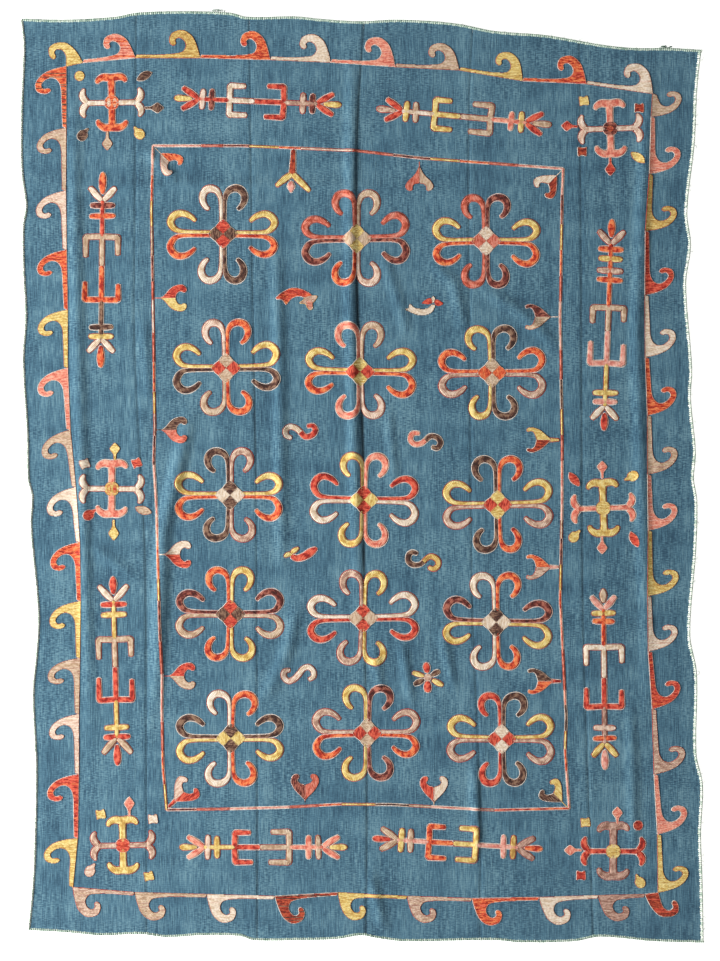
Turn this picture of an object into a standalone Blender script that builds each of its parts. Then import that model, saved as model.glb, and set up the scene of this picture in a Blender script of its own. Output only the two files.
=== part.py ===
# A hand-embroidered kilim rug, lying flat: six narrow woven strips sewn side by side, and a thick
# overcast edge round all four sides. It lies on z = 0, +Y runs along the strips, the origin is under
# its middle. The lines of the outline wander as a hand-woven rug's do, and shallow folds cross it.

from collections import namedtuple
import math

import bmesh
import bpy

MM = 0.001
CM = 0.01

CLOTH_THICK = 2.5 * MM  # woven wool with its embroidery pressed flat
EDGE_WIDE = 4.8 * MM  # the overcast edge, across
PIECE_GAP = 0.3 * MM  # left between neighbouring solids
CORNER_GAP = 0.4 * MM  # more, where two overcast edges meet at a corner
CELLS_ACROSS = 16  # of one strip
CELLS_ALONG = 56

# The rug's outer line. Columns: x, y of a point on it, in cm
TOP_LINE = (
    (-92.2, 123.7),
    (-80.2, 123.4),
    (-66.7, 124.2),
    (-60.8, 125.3),
    (-48.3, 125.7),
    (-35.6, 125.3),
    (-31.3, 124.2),
    (-17.8, 124.3),
    (-11.9, 123.7),
    (-1.1, 123.0),
    (8.6, 123.4),
    (19.4, 123.0),
    (26.5, 122.2),
    (35.6, 120.4),
    (50.0, 119.2),
    (64.5, 116.7),
    (73.2, 115.8),
    (82.4, 115.8),
    (91.6, 115.3),
)
BOTTOM_LINE = (
    (-90.2, -122.3),
    (-79.7, -122.9),
    (-70.7, -123.7),
    (-59.7, -123.4),
    (-52.9, -124.2),
    (-43.7, -123.7),
    (-32.9, -123.9),
    (-29.4, -125.0),
    (-15.9, -125.0),
    (-7.0, -124.7),
    (-0.3, -123.7),
    (4.3, -124.5),
    (11.1, -125.3),
    (35.6, -125.0),
    (42.7, -125.6),
    (57.2, -125.3),
    (64.0, -124.1),
    (78.8, -125.3),
    (92.2, -125.7),
)
LEFT_LINE = (
    (-92.2, 123.7),
    (-91.5, 116.4),
    (-92.1, 99.9),
    (-92.1, 83.4),
    (-90.9, 72.9),
    (-91.7, 67.5),
    (-91.6, 55.9),
    (-91.0, 43.5),
    (-91.7, 31.5),
    (-90.6, 12.0),
    (-90.3, -0.8),
    (-89.3, -5.0),
    (-89.6, -13.2),
    (-87.6, -36.5),
    (-88.0, -47.0),
    (-89.0, -58.1),
    (-88.2, -79.0),
    (-88.6, -100.7),
    (-89.0, -109.6),
    (-90.2, -122.3),
)
RIGHT_LINE = (
    (91.6, 115.3),
    (90.5, 104.8),
    (89.8, 90.2),
    (87.8, 71.5),
    (88.8, 62.5),
    (87.5, 52.0),
    (89.1, 29.4),
    (88.8, 21.1),
    (90.1, 6.8),
    (89.6, -0.5),
    (90.5, -6.5),
    (90.2, -19.4),
    (88.6, -42.5),
    (90.4, -53.0),
    (90.3, -74.8),
    (92.0, -83.0),
    (91.5, -96.4),
    (91.9, -108.5),
    (92.2, -125.7),
)

# Where the strips are sewn together, left to right. Columns: x, y of a point on the seam, in cm
SEAM_LINES = (
    ((-60.8, 126.0), (-61.2, 70.0), (-61.2, 34.0), (-58.9, -10.0), (-58.3, -30.0), (-58.0, -126.0)),
    ((-30.4, 126.0), (-29.6, 60.0), (-28.9, 20.0), (-28.5, -5.0), (-28.2, -60.0), (-28.2, -126.0)),
    ((0.8, 126.0), (-1.3, 90.0), (-1.3, 50.0), (0.2, 12.0), (0.6, -25.0), (1.4, -85.0), (1.1, -126.0)),
    ((30.2, 126.0), (29.0, 100.0), (29.0, 50.0), (30.0, -38.0), (31.9, -84.0), (31.9, -126.0)),
    ((58.6, 126.0), (59.1, 75.0), (59.4, 0.0), (59.8, -40.0), (61.6, -98.0), (62.6, -126.0)),
)

# A fold runs from its start past its middle point to its end: a soft round ridge in the cloth, which
# fades out towards both ends. Positions in cm, half_width in cm, rise in mm
Fold = namedtuple("Fold", "x0 y0 x1 y1 x2 y2 half_width rise")
FOLDS = (
    Fold(-78.0, 107, -76.5, 30.0, -73.0, -78.0, 2.8, 5.0),
    Fold(-45.6, 20.0, -53.6, -14.0, -55.6, -66.0, 3.2, 7.0),
    Fold(-23.2, 66.0, -22.1, 21.0, -21.6, -28.0, 2.8, 5.0),
    Fold(-16.7, -33.0, -20.8, -49.0, -27.0, -61.0, 3.0, 4.5),
    Fold(-2.6, 118, -3.2, 50.0, -0.8, -40.0, 2.6, 6.0),
    Fold(4.9, 62.0, 9.7, 48.0, 12.4, 38.0, 2.5, 3.5),
    Fold(7.0, 19.0, 8.0, 8.0, 8.9, -3.0, 2.2, 3.0),
    Fold(17.8, 59.0, 25.1, 52.0, 27.5, 39.0, 2.6, 4.0),
    Fold(31.3, 51.6, 42.7, 44.6, 54.0, 33.8, 2.6, 4.5),
    Fold(77.8, 114, 74.2, 40.0, 77.5, -66.0, 2.8, 5.5),
    Fold(72.4, -60.0, 73.0, -82.0, 73.4, -104, 2.4, 3.5),
    Fold(30.2, -76.0, 30.8, -90.0, 31.3, -104, 2.2, 4.0),
    Fold(2.7, -44.0, 4.2, -52.0, 5.7, -61.0, 2.2, 3.5),
    Fold(10.3, -43.0, 11.9, -52.0, 13.5, -62.0, 2.2, 4.0),
    Fold(21.1, -41.0, 23.1, -49.0, 25.1, -58.0, 2.2, 3.5),
    Fold(1.6, -106, 4.0, -114, 6.0, -123, 2.6, 4.5),
    Fold(-59.1, 44.0, -58.2, 32.0, -57.2, 19.0, 2.2, 3.0),
    Fold(-74.0, -18.0, -67.0, -23.0, -59.9, -28.0, 2.2, 3.0),
    Fold(-90.5, 77.2, -49.1, 79.1, 21.1, 78.3, 1.8, 2.5),
    Fold(-59.0, 89.0, -54.0, 84.0, -49.0, 78.0, 2.4, 4.0),
    Fold(-88.0, -31.0, -79.0, -32.4, -68.0, -33.0, 1.8, 2.0),
    Fold(53.0, -33.4, 70.0, -35.0, 88.0, -37.0, 1.8, 2.0),
)
FADE = 0.3  # share of a fold's length in which it fades, at each end
ROUGH_LENGTH = 240 * CM  # of a strip, to start from in finding a place on it
TURNS = 4
SHARP_ANGLE = math.radians(40)  # between faces that are shaded apart

WOOL_BLUE = (0.099, 0.193, 0.262)  # linear colours
EDGE_MINT = (0.56, 0.62, 0.46)


def smooth_line(points, along):
    """The line through the points, as a function of the coordinate number along. Each stretch is a
    cubic whose slope at a point is that of the line between the point's neighbours."""
    rows = sorted((p[along] * CM, p[1 - along] * CM) for p in points)
    slopes = []
    for i in range(len(rows)):
        before, after = rows[max(i - 1, 0)], rows[min(i + 1, len(rows) - 1)]
        slopes.append((after[1] - before[1]) / (after[0] - before[0]))

    def at(place):
        place = min(max(place, rows[0][0]), rows[-1][0])
        i = 0
        while i < len(rows) - 2 and place > rows[i + 1][0]:
            i += 1
        start, end = rows[i], rows[i + 1]
        length = end[0] - start[0]
        s = (place - start[0]) / length
        from_start = start[1] * (1 + 2 * s) + slopes[i] * length * s
        from_end = end[1] * (3 - 2 * s) - slopes[i + 1] * length * (1 - s)
        return from_start * (1 - s) ** 2 + from_end * s * s

    return at


top_at = smooth_line(TOP_LINE, 0)
bottom_at = smooth_line(BOTTOM_LINE, 0)
left_at = smooth_line(LEFT_LINE, 1)
right_at = smooth_line(RIGHT_LINE, 1)
seams_at = [smooth_line(points, 1) for points in SEAM_LINES]


def fold_rise(fold, x, y):
    """How far one fold lifts the cloth at x, y."""
    corners = ((fold.x0 * CM, fold.y0 * CM), (fold.x1 * CM, fold.y1 * CM), (fold.x2 * CM, fold.y2 * CM))
    half_width = fold.half_width * CM
    nearest, share = half_width, 0.0
    for part, (start, end) in enumerate(zip(corners, corners[1:])):
        dx, dy = end[0] - start[0], end[1] - start[1]
        s = ((x - start[0]) * dx + (y - start[1]) * dy) / (dx * dx + dy * dy)
        s = min(max(s, 0.0), 1.0)
        distance = math.hypot(x - start[0] - s * dx, y - start[1] - s * dy)
        if distance < nearest:
            nearest, share = distance, (part + s) / 2
    if nearest >= half_width:
        return 0.0
    fade = min(share, 1 - share, FADE) / FADE
    round_top = 0.5 + 0.5 * math.cos(math.pi * nearest / half_width)
    return fold.rise * MM * round_top * math.sin(0.5 * math.pi * fade)


def lift(x, y):
    """Height of the cloth's underside. Away from the folds it lies on the ground."""
    return max(fold_rise(fold, x, y) for fold in FOLDS)


def wool(name, colour, roughness):
    material = bpy.data.materials.new(name)
    material.use_nodes = True
    shader = material.node_tree.nodes["Principled BSDF"]
    shader.inputs["Base Color"].default_value = (*colour, 1.0)
    shader.inputs["Roughness"].default_value = roughness
    shader.inputs["Metallic"].default_value = 0.0
    return material


def strip_sides(number):
    """Functions for the left and right side of a woven strip, numbered from 0 at the left."""
    inset = EDGE_WIDE + PIECE_GAP
    if number == 0:
        left = lambda y: left_at(y) + inset
    else:
        left = lambda y: seams_at[number - 1](y) + PIECE_GAP / 2
    if number == len(seams_at):
        right = lambda y: right_at(y) - inset
    else:
        right = lambda y: seams_at[number](y) - PIECE_GAP / 2
    return left, right


def place_in_strip(across, along, sides):
    """The point at these shares of the strip's width and length, each 0 to 1. The sides depend on y
    and the ends on x, so a rough y is put right in a few turns."""
    left, right = sides
    inset = EDGE_WIDE + PIECE_GAP
    x, y = 0.0, (along - 0.5) * ROUGH_LENGTH
    for _ in range(TURNS):
        x = left(y) + across * (right(y) - left(y))
        low, high = bottom_at(x) + inset, top_at(x) - inset
        y = low + along * (high - low)
    return x, y


def make_strip(name, number, material, collection):
    """One woven strip: a grid laid along its two sides and over the folds, then thickened upwards."""
    sides = strip_sides(number)
    bm = bmesh.new()
    bmesh.ops.create_grid(bm, x_segments=CELLS_ACROSS, y_segments=CELLS_ALONG, size=0.5)
    for vertex in bm.verts:
        x, y = place_in_strip(vertex.co.x + 0.5, vertex.co.y + 0.5, sides)
        vertex.co = (x, y, lift(x, y))
    raised = bmesh.ops.extrude_face_region(bm, geom=bm.faces[:])["geom"]
    upper = [item for item in raised if isinstance(item, bmesh.types.BMVert)]
    bmesh.ops.translate(bm, verts=upper, vec=(0.0, 0.0, CLOTH_THICK))
    bmesh.ops.recalc_face_normals(bm, faces=bm.faces[:])
    mesh = bpy.data.meshes.new(name)
    bm.to_mesh(mesh)
    bm.free()
    mesh.shade_smooth()
    mesh.set_sharp_from_angle(angle=SHARP_ANGLE)
    mesh.materials.append(material)
    strip = bpy.data.objects.new(name, mesh)
    collection.objects.link(strip)
    return strip


def make_edge(name, points, material, collection):
    """A thick overcast edge: a round tube through the points, closed at both ends."""
    curve = bpy.data.curves.new(name, "CURVE")
    curve.dimensions = "3D"
    curve.twist_mode = "Z_UP"
    curve.bevel_depth = EDGE_WIDE / 2
    curve.bevel_resolution = 2
    curve.use_fill_caps = True
    spline = curve.splines.new("POLY")
    spline.points.add(len(points) - 1)
    for point, (x, y) in zip(spline.points, points):
        point.co = (x, y, EDGE_WIDE / 2 + lift(x, y), 1.0)
    curve.materials.append(material)
    edge = bpy.data.objects.new(name, curve)
    collection.objects.link(edge)
    return edge


def side_points(number, across):
    """Middle of the overcast edge on a long side: beside the cloth's own points, between the top and
    bottom edges."""
    sides = strip_sides(number)
    outward = (2 * across - 1) * (EDGE_WIDE / 2 + PIECE_GAP)
    points = []
    for row in range(CELLS_ALONG + 1):
        x, y = place_in_strip(across, row / CELLS_ALONG, sides)
        if row == 0:
            y += CORNER_GAP
        if row == CELLS_ALONG:
            y -= CORNER_GAP
        points.append((x + outward, y))
    return points


def end_points(along):
    """Middle of the overcast edge on the top or bottom: beside the cloth's own points, and out to the
    rug's corners."""
    outward = (2 * along - 1) * (EDGE_WIDE / 2 + PIECE_GAP)
    corner = EDGE_WIDE + PIECE_GAP
    cloth = []
    last = len(SEAM_LINES)
    for number in range(last + 1):
        sides = strip_sides(number)
        for column in range(CELLS_ACROSS + (number == last)):
            cloth.append(place_in_strip(column / CELLS_ACROSS, along, sides))
    first, final = cloth[0], cloth[-1]
    cloth = [(first[0] - corner, first[1])] + cloth + [(final[0] + corner, final[1])]
    return [(x, y + outward) for x, y in cloth]


def build():
    for old in list(bpy.data.objects):
        bpy.data.objects.remove(old, do_unlink=True)
    collection = bpy.data.collections.new("suzani_kilim_rug")
    bpy.context.scene.collection.children.link(collection)
    for number in range(len(SEAM_LINES) + 1):
        name = f"strip_{number + 1}"
        make_strip(name, number, wool(f"blue wool {number + 1}", WOOL_BLUE, 0.95), collection)
    edges = (
        ("edge_left", side_points(0, 0)),
        ("edge_right", side_points(len(SEAM_LINES), 1)),
        ("edge_top", end_points(1)),
        ("edge_bottom", end_points(0)),
    )
    for name, points in edges:
        make_edge(name, points, wool(f"{name} yarn", EDGE_MINT, 0.9), collection)


build()
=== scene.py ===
import math
from collections import namedtuple

import bpy
import numpy as np
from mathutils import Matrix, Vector


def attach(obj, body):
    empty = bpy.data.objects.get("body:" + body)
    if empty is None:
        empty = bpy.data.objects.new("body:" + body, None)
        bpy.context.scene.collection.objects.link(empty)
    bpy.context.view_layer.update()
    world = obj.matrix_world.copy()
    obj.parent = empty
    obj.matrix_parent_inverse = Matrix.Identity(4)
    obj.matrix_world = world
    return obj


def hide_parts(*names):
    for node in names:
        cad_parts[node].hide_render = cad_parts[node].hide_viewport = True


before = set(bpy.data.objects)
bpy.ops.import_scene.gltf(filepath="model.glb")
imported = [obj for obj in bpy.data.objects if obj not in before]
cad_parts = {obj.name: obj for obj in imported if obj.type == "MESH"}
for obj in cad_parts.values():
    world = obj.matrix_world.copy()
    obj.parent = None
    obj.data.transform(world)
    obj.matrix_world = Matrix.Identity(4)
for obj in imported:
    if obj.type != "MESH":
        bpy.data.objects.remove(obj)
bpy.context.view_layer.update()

# A flat-woven wool rug of six sewn strips, embroidered in chain stitch and overcast all round.
# Everything below is in metres. +Y runs along the strips, and the rug lies on z = 0.
mm = 0.001
cm = 0.01

rug = {
    "clothThick": 2.5 * mm,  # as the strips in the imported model
    "edgeWide": 4.8 * mm,  # the overcast edge, across
    "pieceGap": 0.3 * mm,
    "halfLong": 1.2,  # about half its length, in m
    "seed": 7,
}
clothInset = rug["edgeWide"] + rug["pieceGap"]  # from the outer line to the cloth

# The rug's outer line and seams, as x, y in cm
topLine = (
    (-92.2, 123.7), (-80.2, 123.4), (-66.7, 124.2), (-60.8, 125.3), (-48.3, 125.7),
    (-35.6, 125.3), (-31.3, 124.2), (-17.8, 124.3), (-11.9, 123.7), (-1.1, 123.0),
    (8.6, 123.4), (19.4, 123.0), (26.5, 122.2), (35.6, 120.4), (50.0, 119.2),
    (64.5, 116.7), (73.2, 115.8), (82.4, 115.8), (91.6, 115.3),
)
bottomLine = (
    (-90.2, -122.3), (-79.7, -122.9), (-70.7, -123.7), (-59.7, -123.4), (-52.9, -124.2),
    (-43.7, -123.7), (-32.9, -123.9), (-29.4, -125.0), (-15.9, -125.0), (-7.0, -124.7),
    (-0.3, -123.7), (4.3, -124.5), (11.1, -125.3), (35.6, -125.0), (42.7, -125.6),
    (57.2, -125.3), (64.0, -124.1), (78.8, -125.3), (92.2, -125.7),
)
leftLine = (
    (-92.2, 123.7), (-91.5, 116.4), (-92.1, 99.9), (-92.1, 83.4), (-90.9, 72.9),
    (-91.7, 67.5), (-91.6, 55.9), (-91.0, 43.5), (-91.7, 31.5), (-90.6, 12.0),
    (-90.3, -0.8), (-89.3, -5.0), (-89.6, -13.2), (-87.6, -36.5), (-88.0, -47.0),
    (-89.0, -58.1), (-88.2, -79.0), (-88.6, -100.7), (-89.0, -109.6), (-90.2, -122.3),
)
rightLine = (
    (91.6, 115.3), (90.5, 104.8), (89.8, 90.2), (87.8, 71.5), (88.8, 62.5),
    (87.5, 52.0), (89.1, 29.4), (88.8, 21.1), (90.1, 6.8), (89.6, -0.5),
    (90.5, -6.5), (90.2, -19.4), (88.6, -42.5), (90.4, -53.0), (90.3, -74.8),
    (92.0, -83.0), (91.5, -96.4), (91.9, -108.5), (92.2, -125.7),
)
seamLines = (
    ((-60.8, 126.0), (-61.2, 70.0), (-61.2, 34.0), (-58.9, -10.0), (-58.3, -30.0), (-58.0, -126.0)),
    ((-30.4, 126.0), (-29.6, 60.0), (-28.9, 20.0), (-28.5, -5.0), (-28.2, -60.0), (-28.2, -126.0)),
    ((0.8, 126.0), (-1.3, 90.0), (-1.3, 50.0), (0.2, 12.0), (0.6, -25.0), (1.4, -85.0), (1.1, -126.0)),
    ((30.2, 126.0), (29.0, 100.0), (29.0, 50.0), (30.0, -38.0), (31.9, -84.0), (31.9, -126.0)),
    ((58.6, 126.0), (59.1, 75.0), (59.4, 0.0), (59.8, -40.0), (61.6, -98.0), (62.6, -126.0)),
)

# Folds of the lying cloth, start, middle and end in cm, half width in cm, rise in mm
Fold = namedtuple("Fold", "x0 y0 x1 y1 x2 y2 halfWidth rise")
folds = (
    Fold(-78.0, 107, -76.5, 30.0, -73.0, -78.0, 2.8, 5.0),
    Fold(-45.6, 20.0, -53.6, -14.0, -55.6, -66.0, 3.2, 7.0),
    Fold(-23.2, 66.0, -22.1, 21.0, -21.6, -28.0, 2.8, 5.0),
    Fold(-16.7, -33.0, -20.8, -49.0, -27.0, -61.0, 3.0, 4.5),
    Fold(-2.6, 118, -3.2, 50.0, -0.8, -40.0, 2.6, 6.0),
    Fold(4.9, 62.0, 9.7, 48.0, 12.4, 38.0, 2.5, 3.5),
    Fold(7.0, 19.0, 8.0, 8.0, 8.9, -3.0, 2.2, 3.0),
    Fold(17.8, 59.0, 25.1, 52.0, 27.5, 39.0, 2.6, 4.0),
    Fold(31.3, 51.6, 42.7, 44.6, 54.0, 33.8, 2.6, 4.5),
    Fold(77.8, 114, 74.2, 40.0, 77.5, -66.0, 2.8, 5.5),
    Fold(72.4, -60.0, 73.0, -82.0, 73.4, -104, 2.4, 3.5),
    Fold(30.2, -76.0, 30.8, -90.0, 31.3, -104, 2.2, 4.0),
    Fold(2.7, -44.0, 4.2, -52.0, 5.7, -61.0, 2.2, 3.5),
    Fold(10.3, -43.0, 11.9, -52.0, 13.5, -62.0, 2.2, 4.0),
    Fold(21.1, -41.0, 23.1, -49.0, 25.1, -58.0, 2.2, 3.5),
    Fold(1.6, -106, 4.0, -114, 6.0, -123, 2.6, 4.5),
    Fold(-59.1, 44.0, -58.2, 32.0, -57.2, 19.0, 2.2, 3.0),
    Fold(-74.0, -18.0, -67.0, -23.0, -59.9, -28.0, 2.2, 3.0),
    Fold(-90.5, 77.2, -49.1, 79.1, 21.1, 78.3, 1.8, 2.5),
    Fold(-59.0, 89.0, -54.0, 84.0, -49.0, 78.0, 2.4, 4.0),
    Fold(-88.0, -31.0, -79.0, -32.4, -68.0, -33.0, 1.8, 2.0),
    Fold(53.0, -33.4, 70.0, -35.0, 88.0, -37.0, 1.8, 2.0),
)
foldFade = 0.3  # share of a fold's length in which it fades, at each end


def smoothAt(place, rows, where):  # a smooth curve through the rows, which lie at place, read at where
    number = np.arange(len(place))
    before, after = np.maximum(number - 1, 0), np.minimum(number + 1, number[-1])
    slope = (rows[after] - rows[before]) / (place[after] - place[before])[:, None]
    i = np.clip(np.searchsorted(place, where, side="right") - 1, 0, len(place) - 2)
    length = (place[i + 1] - place[i])[..., None]
    s = (where - place[i])[..., None] / length
    fromStart = rows[i] * (1 + 2 * s) + slope[i] * length * s
    fromEnd = rows[i + 1] * (3 - 2 * s) - slope[i + 1] * length * (1 - s)
    return fromStart * (1 - s) ** 2 + fromEnd * s * s


def smoothLine(points, along):  # the line through the points as a function of x (along 0) or y (along 1)
    rows = np.array(sorted((p[along], p[1 - along]) for p in points)) * cm
    place = rows[:, 0]
    return lambda where: smoothAt(place, rows[:, 1:], np.clip(where, place[0], place[-1]))[..., 0]


topAt = smoothLine(topLine, 0)
bottomAt = smoothLine(bottomLine, 0)
leftAt = smoothLine(leftLine, 1)
rightAt = smoothLine(rightLine, 1)
seamsAt = [smoothLine(points, 1) for points in seamLines]


def foldRise(fold, x, y):
    corners = np.array(((fold.x0, fold.y0), (fold.x1, fold.y1), (fold.x2, fold.y2))) * cm
    halfWidth = fold.halfWidth * cm
    nearest = np.full(np.shape(x), halfWidth)
    share = np.zeros(np.shape(x))
    for part in (0, 1):
        start, along = corners[part], corners[part + 1] - corners[part]
        s = ((x - start[0]) * along[0] + (y - start[1]) * along[1]) / (along @ along)
        s = np.clip(s, 0.0, 1.0)
        distance = np.hypot(x - start[0] - s * along[0], y - start[1] - s * along[1])
        closer = distance < nearest
        nearest = np.where(closer, distance, nearest)
        share = np.where(closer, (part + s) / 2, share)
    fade = np.minimum(np.minimum(share, 1 - share), foldFade) / foldFade
    roundTop = 0.5 + 0.5 * np.cos(np.pi * nearest / halfWidth)
    return fold.rise * mm * roundTop * np.sin(0.5 * np.pi * fade)


relief = {
    "waveRise": 0.5 * mm,  # soft unevenness all over the cloth
    "waves": ((0.061, 0.47, 0.4), (0.037, 0.31, 2.1), (0.083, 0.23, 4.4), (0.029, 0.19, 5.6)),  # m, m, turn
    "waveBend": 1.7,
    "seamDip": 0.9 * mm,  # the selvedges turn down where they are sewn
    "seamDipWide": 4.0 * mm,
    "puckerRise": 0.7 * mm,  # small gathers beside each seam
    "puckerPitch": 41 * mm,
    "puckerReach": 26 * mm,
    "puckerSway": 0.23,  # m, the way along a seam in which the gathers' pitch drifts
}


def softWaves(x, y):  # low waves that run mostly along the strips, 0 to waveRise
    total = np.zeros(np.shape(x))
    for wide, long, turn in relief["waves"]:
        bend = relief["waveBend"] * np.sin(y / long * 2 * np.pi + turn)
        total = total + np.sin(x / wide * 2 * np.pi + bend + turn)
    return relief["waveRise"] * (0.5 + 0.5 * total / len(relief["waves"]))


def clothLift(x, y):  # height of the cloth's underside
    x, y = np.asarray(x, float), np.asarray(y, float)
    height = np.zeros(x.shape)
    for fold in folds:
        height = np.maximum(height, foldRise(fold, x, y))
    height = height + softWaves(x, y)
    for number, seamAt in enumerate(seamsAt):
        away = np.abs(x - seamAt(y)) / relief["puckerReach"]
        drift = 3 * np.sin(y / relief["puckerSway"]) + number
        ripple = 0.5 + 0.5 * np.sin(y / relief["puckerPitch"] * 2 * np.pi + drift)
        height = height + relief["puckerRise"] * ripple * np.exp(-away * away)
    return height


def clothTop(x, y):  # height of the cloth's upper face, which dips at the seams
    top = clothLift(x, y) + rug["clothThick"]
    for seamAt in seamsAt:
        away = np.abs(x - seamAt(y)) / relief["seamDipWide"]
        top = top - relief["seamDip"] * np.exp(-away * away)
    return top


def linear(hexColour):  # sRGB hex to the linear colour that a shader takes
    channels = [int(hexColour[i:i + 2], 16) / 255 for i in (1, 3, 5)]
    return tuple(c / 12.92 if c <= 0.04045 else ((c + 0.055) / 1.055) ** 2.4 for c in channels) + (1.0,)


# A node with its settings. Links give an input's name or number, and the socket or value it takes
def addNode(tree, kind, settings=None, links=None):
    node = tree.nodes.new("ShaderNode" + kind)
    for key, value in (settings or {}).items():
        setattr(node, key, value)
    for key, value in (links or {}).items():
        if isinstance(value, bpy.types.NodeSocket):
            tree.links.new(value, node.inputs[key])
        else:
            node.inputs[key].default_value = value
    return node


def newMaterial(name):
    material = bpy.data.materials.new(name)
    material.use_nodes = True
    return material, material.node_tree, material.node_tree.nodes["Principled BSDF"]


def putInScene(name, data):
    thing = bpy.data.objects.new(name, data)
    bpy.context.scene.collection.objects.link(thing)
    return thing


def rampStops(node, stops):  # sets a colour ramp's stops from place, hex rows
    elements, stops = node.color_ramp.elements, list(stops)
    while len(elements) < len(stops):
        elements.new(0.5)
    for element, (place, hexColour) in zip(elements, stops):
        element.position = place
        element.color = linear(hexColour)


def finishWool(tree, shader, look, colour, height):  # wool's dull gloss and faint halo, over a relief
    bump = addNode(tree, "Bump", links={
        "Height": height, "Strength": look["bump"], "Distance": look["bumpHigh"]})
    tree.links.new(colour, shader.inputs["Base Color"])
    tree.links.new(bump.outputs[0], shader.inputs["Normal"])
    gloss = {"Roughness": "roughness", "Sheen Weight": "sheen", "Specular IOR Level": "specular"}
    for name, key in gloss.items():
        shader.inputs[name].default_value = look[key]


# Flat-woven wool, warp and weft both dyed blue by hand. It gives the eye fine lengthwise streaks,
# because each warp thread took the dye a little differently, and faint ribs across.
groundWool = {
    "colours": ((0.345, "#2C4E63"), (0.465, "#4A7286"), (0.585, "#6E94A2")),
    "noises": {  # mm across and along, where in the noise, detail, roughness
        "streak": (2.6, 46.0, 1.0, 2.0, 0.55),  # about two warp threads, as coarse as the render can show
        "band": (32.0, 600.0, 5.0, 2.0, 0.5),  # threads of one hank
        "cloud": (190.0, 70.0, 9.0, 2.0, 0.5),
        "dash": (12.0, 2.4, 3.0, 2.0, 0.6),  # thick and thin places in the weft
        "area": (150.0, 150.0, 12.0, 1.0, 0.5),
    },
    "weights": (("streak", 0.48), ("band", 0.19), ("cloud", 0.2)),  # of each noise in the colour
    "base": 0.03,
    "dashRange": (0.42, 0.6, 0.24, 0.68),  # the area noise from and to, and the dashes' weight there
    "ribPitch": 5.4,  # mm, about three wefts
    "ribWeight": 0.18,  # of the ribs and the warp threads in the relief
    "threadWeight": 0.9,
    "bump": 0.7,
    "bumpHigh": 0.9 * mm,
    "roughness": 0.92,
    "sheen": 0.25,
    "specular": 0.2,
}


def makeGroundWool():
    v = groundWool
    material, tree, shader = newMaterial("blue hand-dyed wool, flat woven")
    spot = addNode(tree, "TexCoord")
    parts = addNode(tree, "SeparateXYZ", links={0: spot.outputs["Object"]})
    times, timesPlus = {"operation": "MULTIPLY"}, {"operation": "MULTIPLY_ADD"}
    noise = {}
    for name, (wide, long, place, detail, roughness) in v["noises"].items():
        across = addNode(tree, "Math", times, {0: parts.outputs["X"], 1: 1000 / wide})
        along = addNode(tree, "Math", times, {0: parts.outputs["Y"], 1: 1000 / long})
        both = addNode(tree, "CombineXYZ", links={0: across.outputs[0], 1: along.outputs[0], 2: place})
        node = addNode(tree, "TexNoise", links={
            "Vector": both.outputs[0], "Scale": 1.0, "Detail": detail, "Roughness": roughness})
        noise[name] = node.outputs[0]
    tone = v["base"]
    for name, weight in v["weights"]:
        tone = addNode(tree, "Math", timesPlus, {0: noise[name], 1: weight, 2: tone}).outputs[0]
    dashSize = addNode(tree, "MapRange", links=dict(enumerate((noise["area"], *v["dashRange"]))))
    dash = addNode(tree, "Math", {"operation": "SUBTRACT"}, {0: noise["dash"], 1: 0.5})
    tone = addNode(tree, "Math", timesPlus, {0: dash.outputs[0], 1: dashSize.outputs[0], 2: tone}).outputs[0]
    ramp = addNode(tree, "ValToRGB", links={0: tone})
    rampStops(ramp, v["colours"])
    shade = addNode(tree, "VertexColor", {"layer_name": "shade"})  # painted shade beside the seams
    dyedWithPaintedShade = addNode(tree, "Mix", {"data_type": "RGBA", "blend_type": "MULTIPLY"},
                   {0: 1.0, 6: ramp.outputs[0], 7: shade.outputs[0]})
    rib = addNode(tree, "Math", times, {0: parts.outputs["Y"], 1: 2 * math.pi * 1000 / v["ribPitch"]})
    ribWave = addNode(tree, "Math", {"operation": "SINE"}, {0: rib.outputs[0]})
    ribs = addNode(tree, "Math", timesPlus, {0: ribWave.outputs[0], 1: v["ribWeight"], 2: noise["dash"]})
    threads = addNode(tree, "Math", timesPlus, {0: noise["streak"], 1: v["threadWeight"], 2: ribs.outputs[0]})
    finishWool(tree, shader, v, dyedWithPaintedShade.outputs[2], threads.outputs[0])
    return material


wool = makeGroundWool()
print("scene: wool made")


cloth = {
    "cellsAcross": 38,
    "cellsAlong": 210,
    "sideSteps": (0.0, 0.006, 0.016),  # closer columns beside each seam, as shares of the width
    "sharpAngle": 50,
}


def stripSides(number):  # the left and right side of a strip, numbered from 0 at the left, as functions of y
    half = rug["pieceGap"] / 2

    def left(y):
        return leftAt(y) + clothInset if number == 0 else seamsAt[number - 1](y) + half

    def right(y):
        return rightAt(y) - clothInset if number == len(seamsAt) else seamsAt[number](y) - half

    return left, right


def placeInStrip(across, along, sides):  # the points at these shares of the strip's width and length
    y = (along - 0.5) * 2 * rug["halfLong"]
    for turn in range(4):
        left, right = sides[0](y), sides[1](y)
        x = left + across * (right - left)
        low, high = bottomAt(x) + clothInset, topAt(x) - clothInset
        y = low + along * (high - low)
    return x, y
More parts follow.
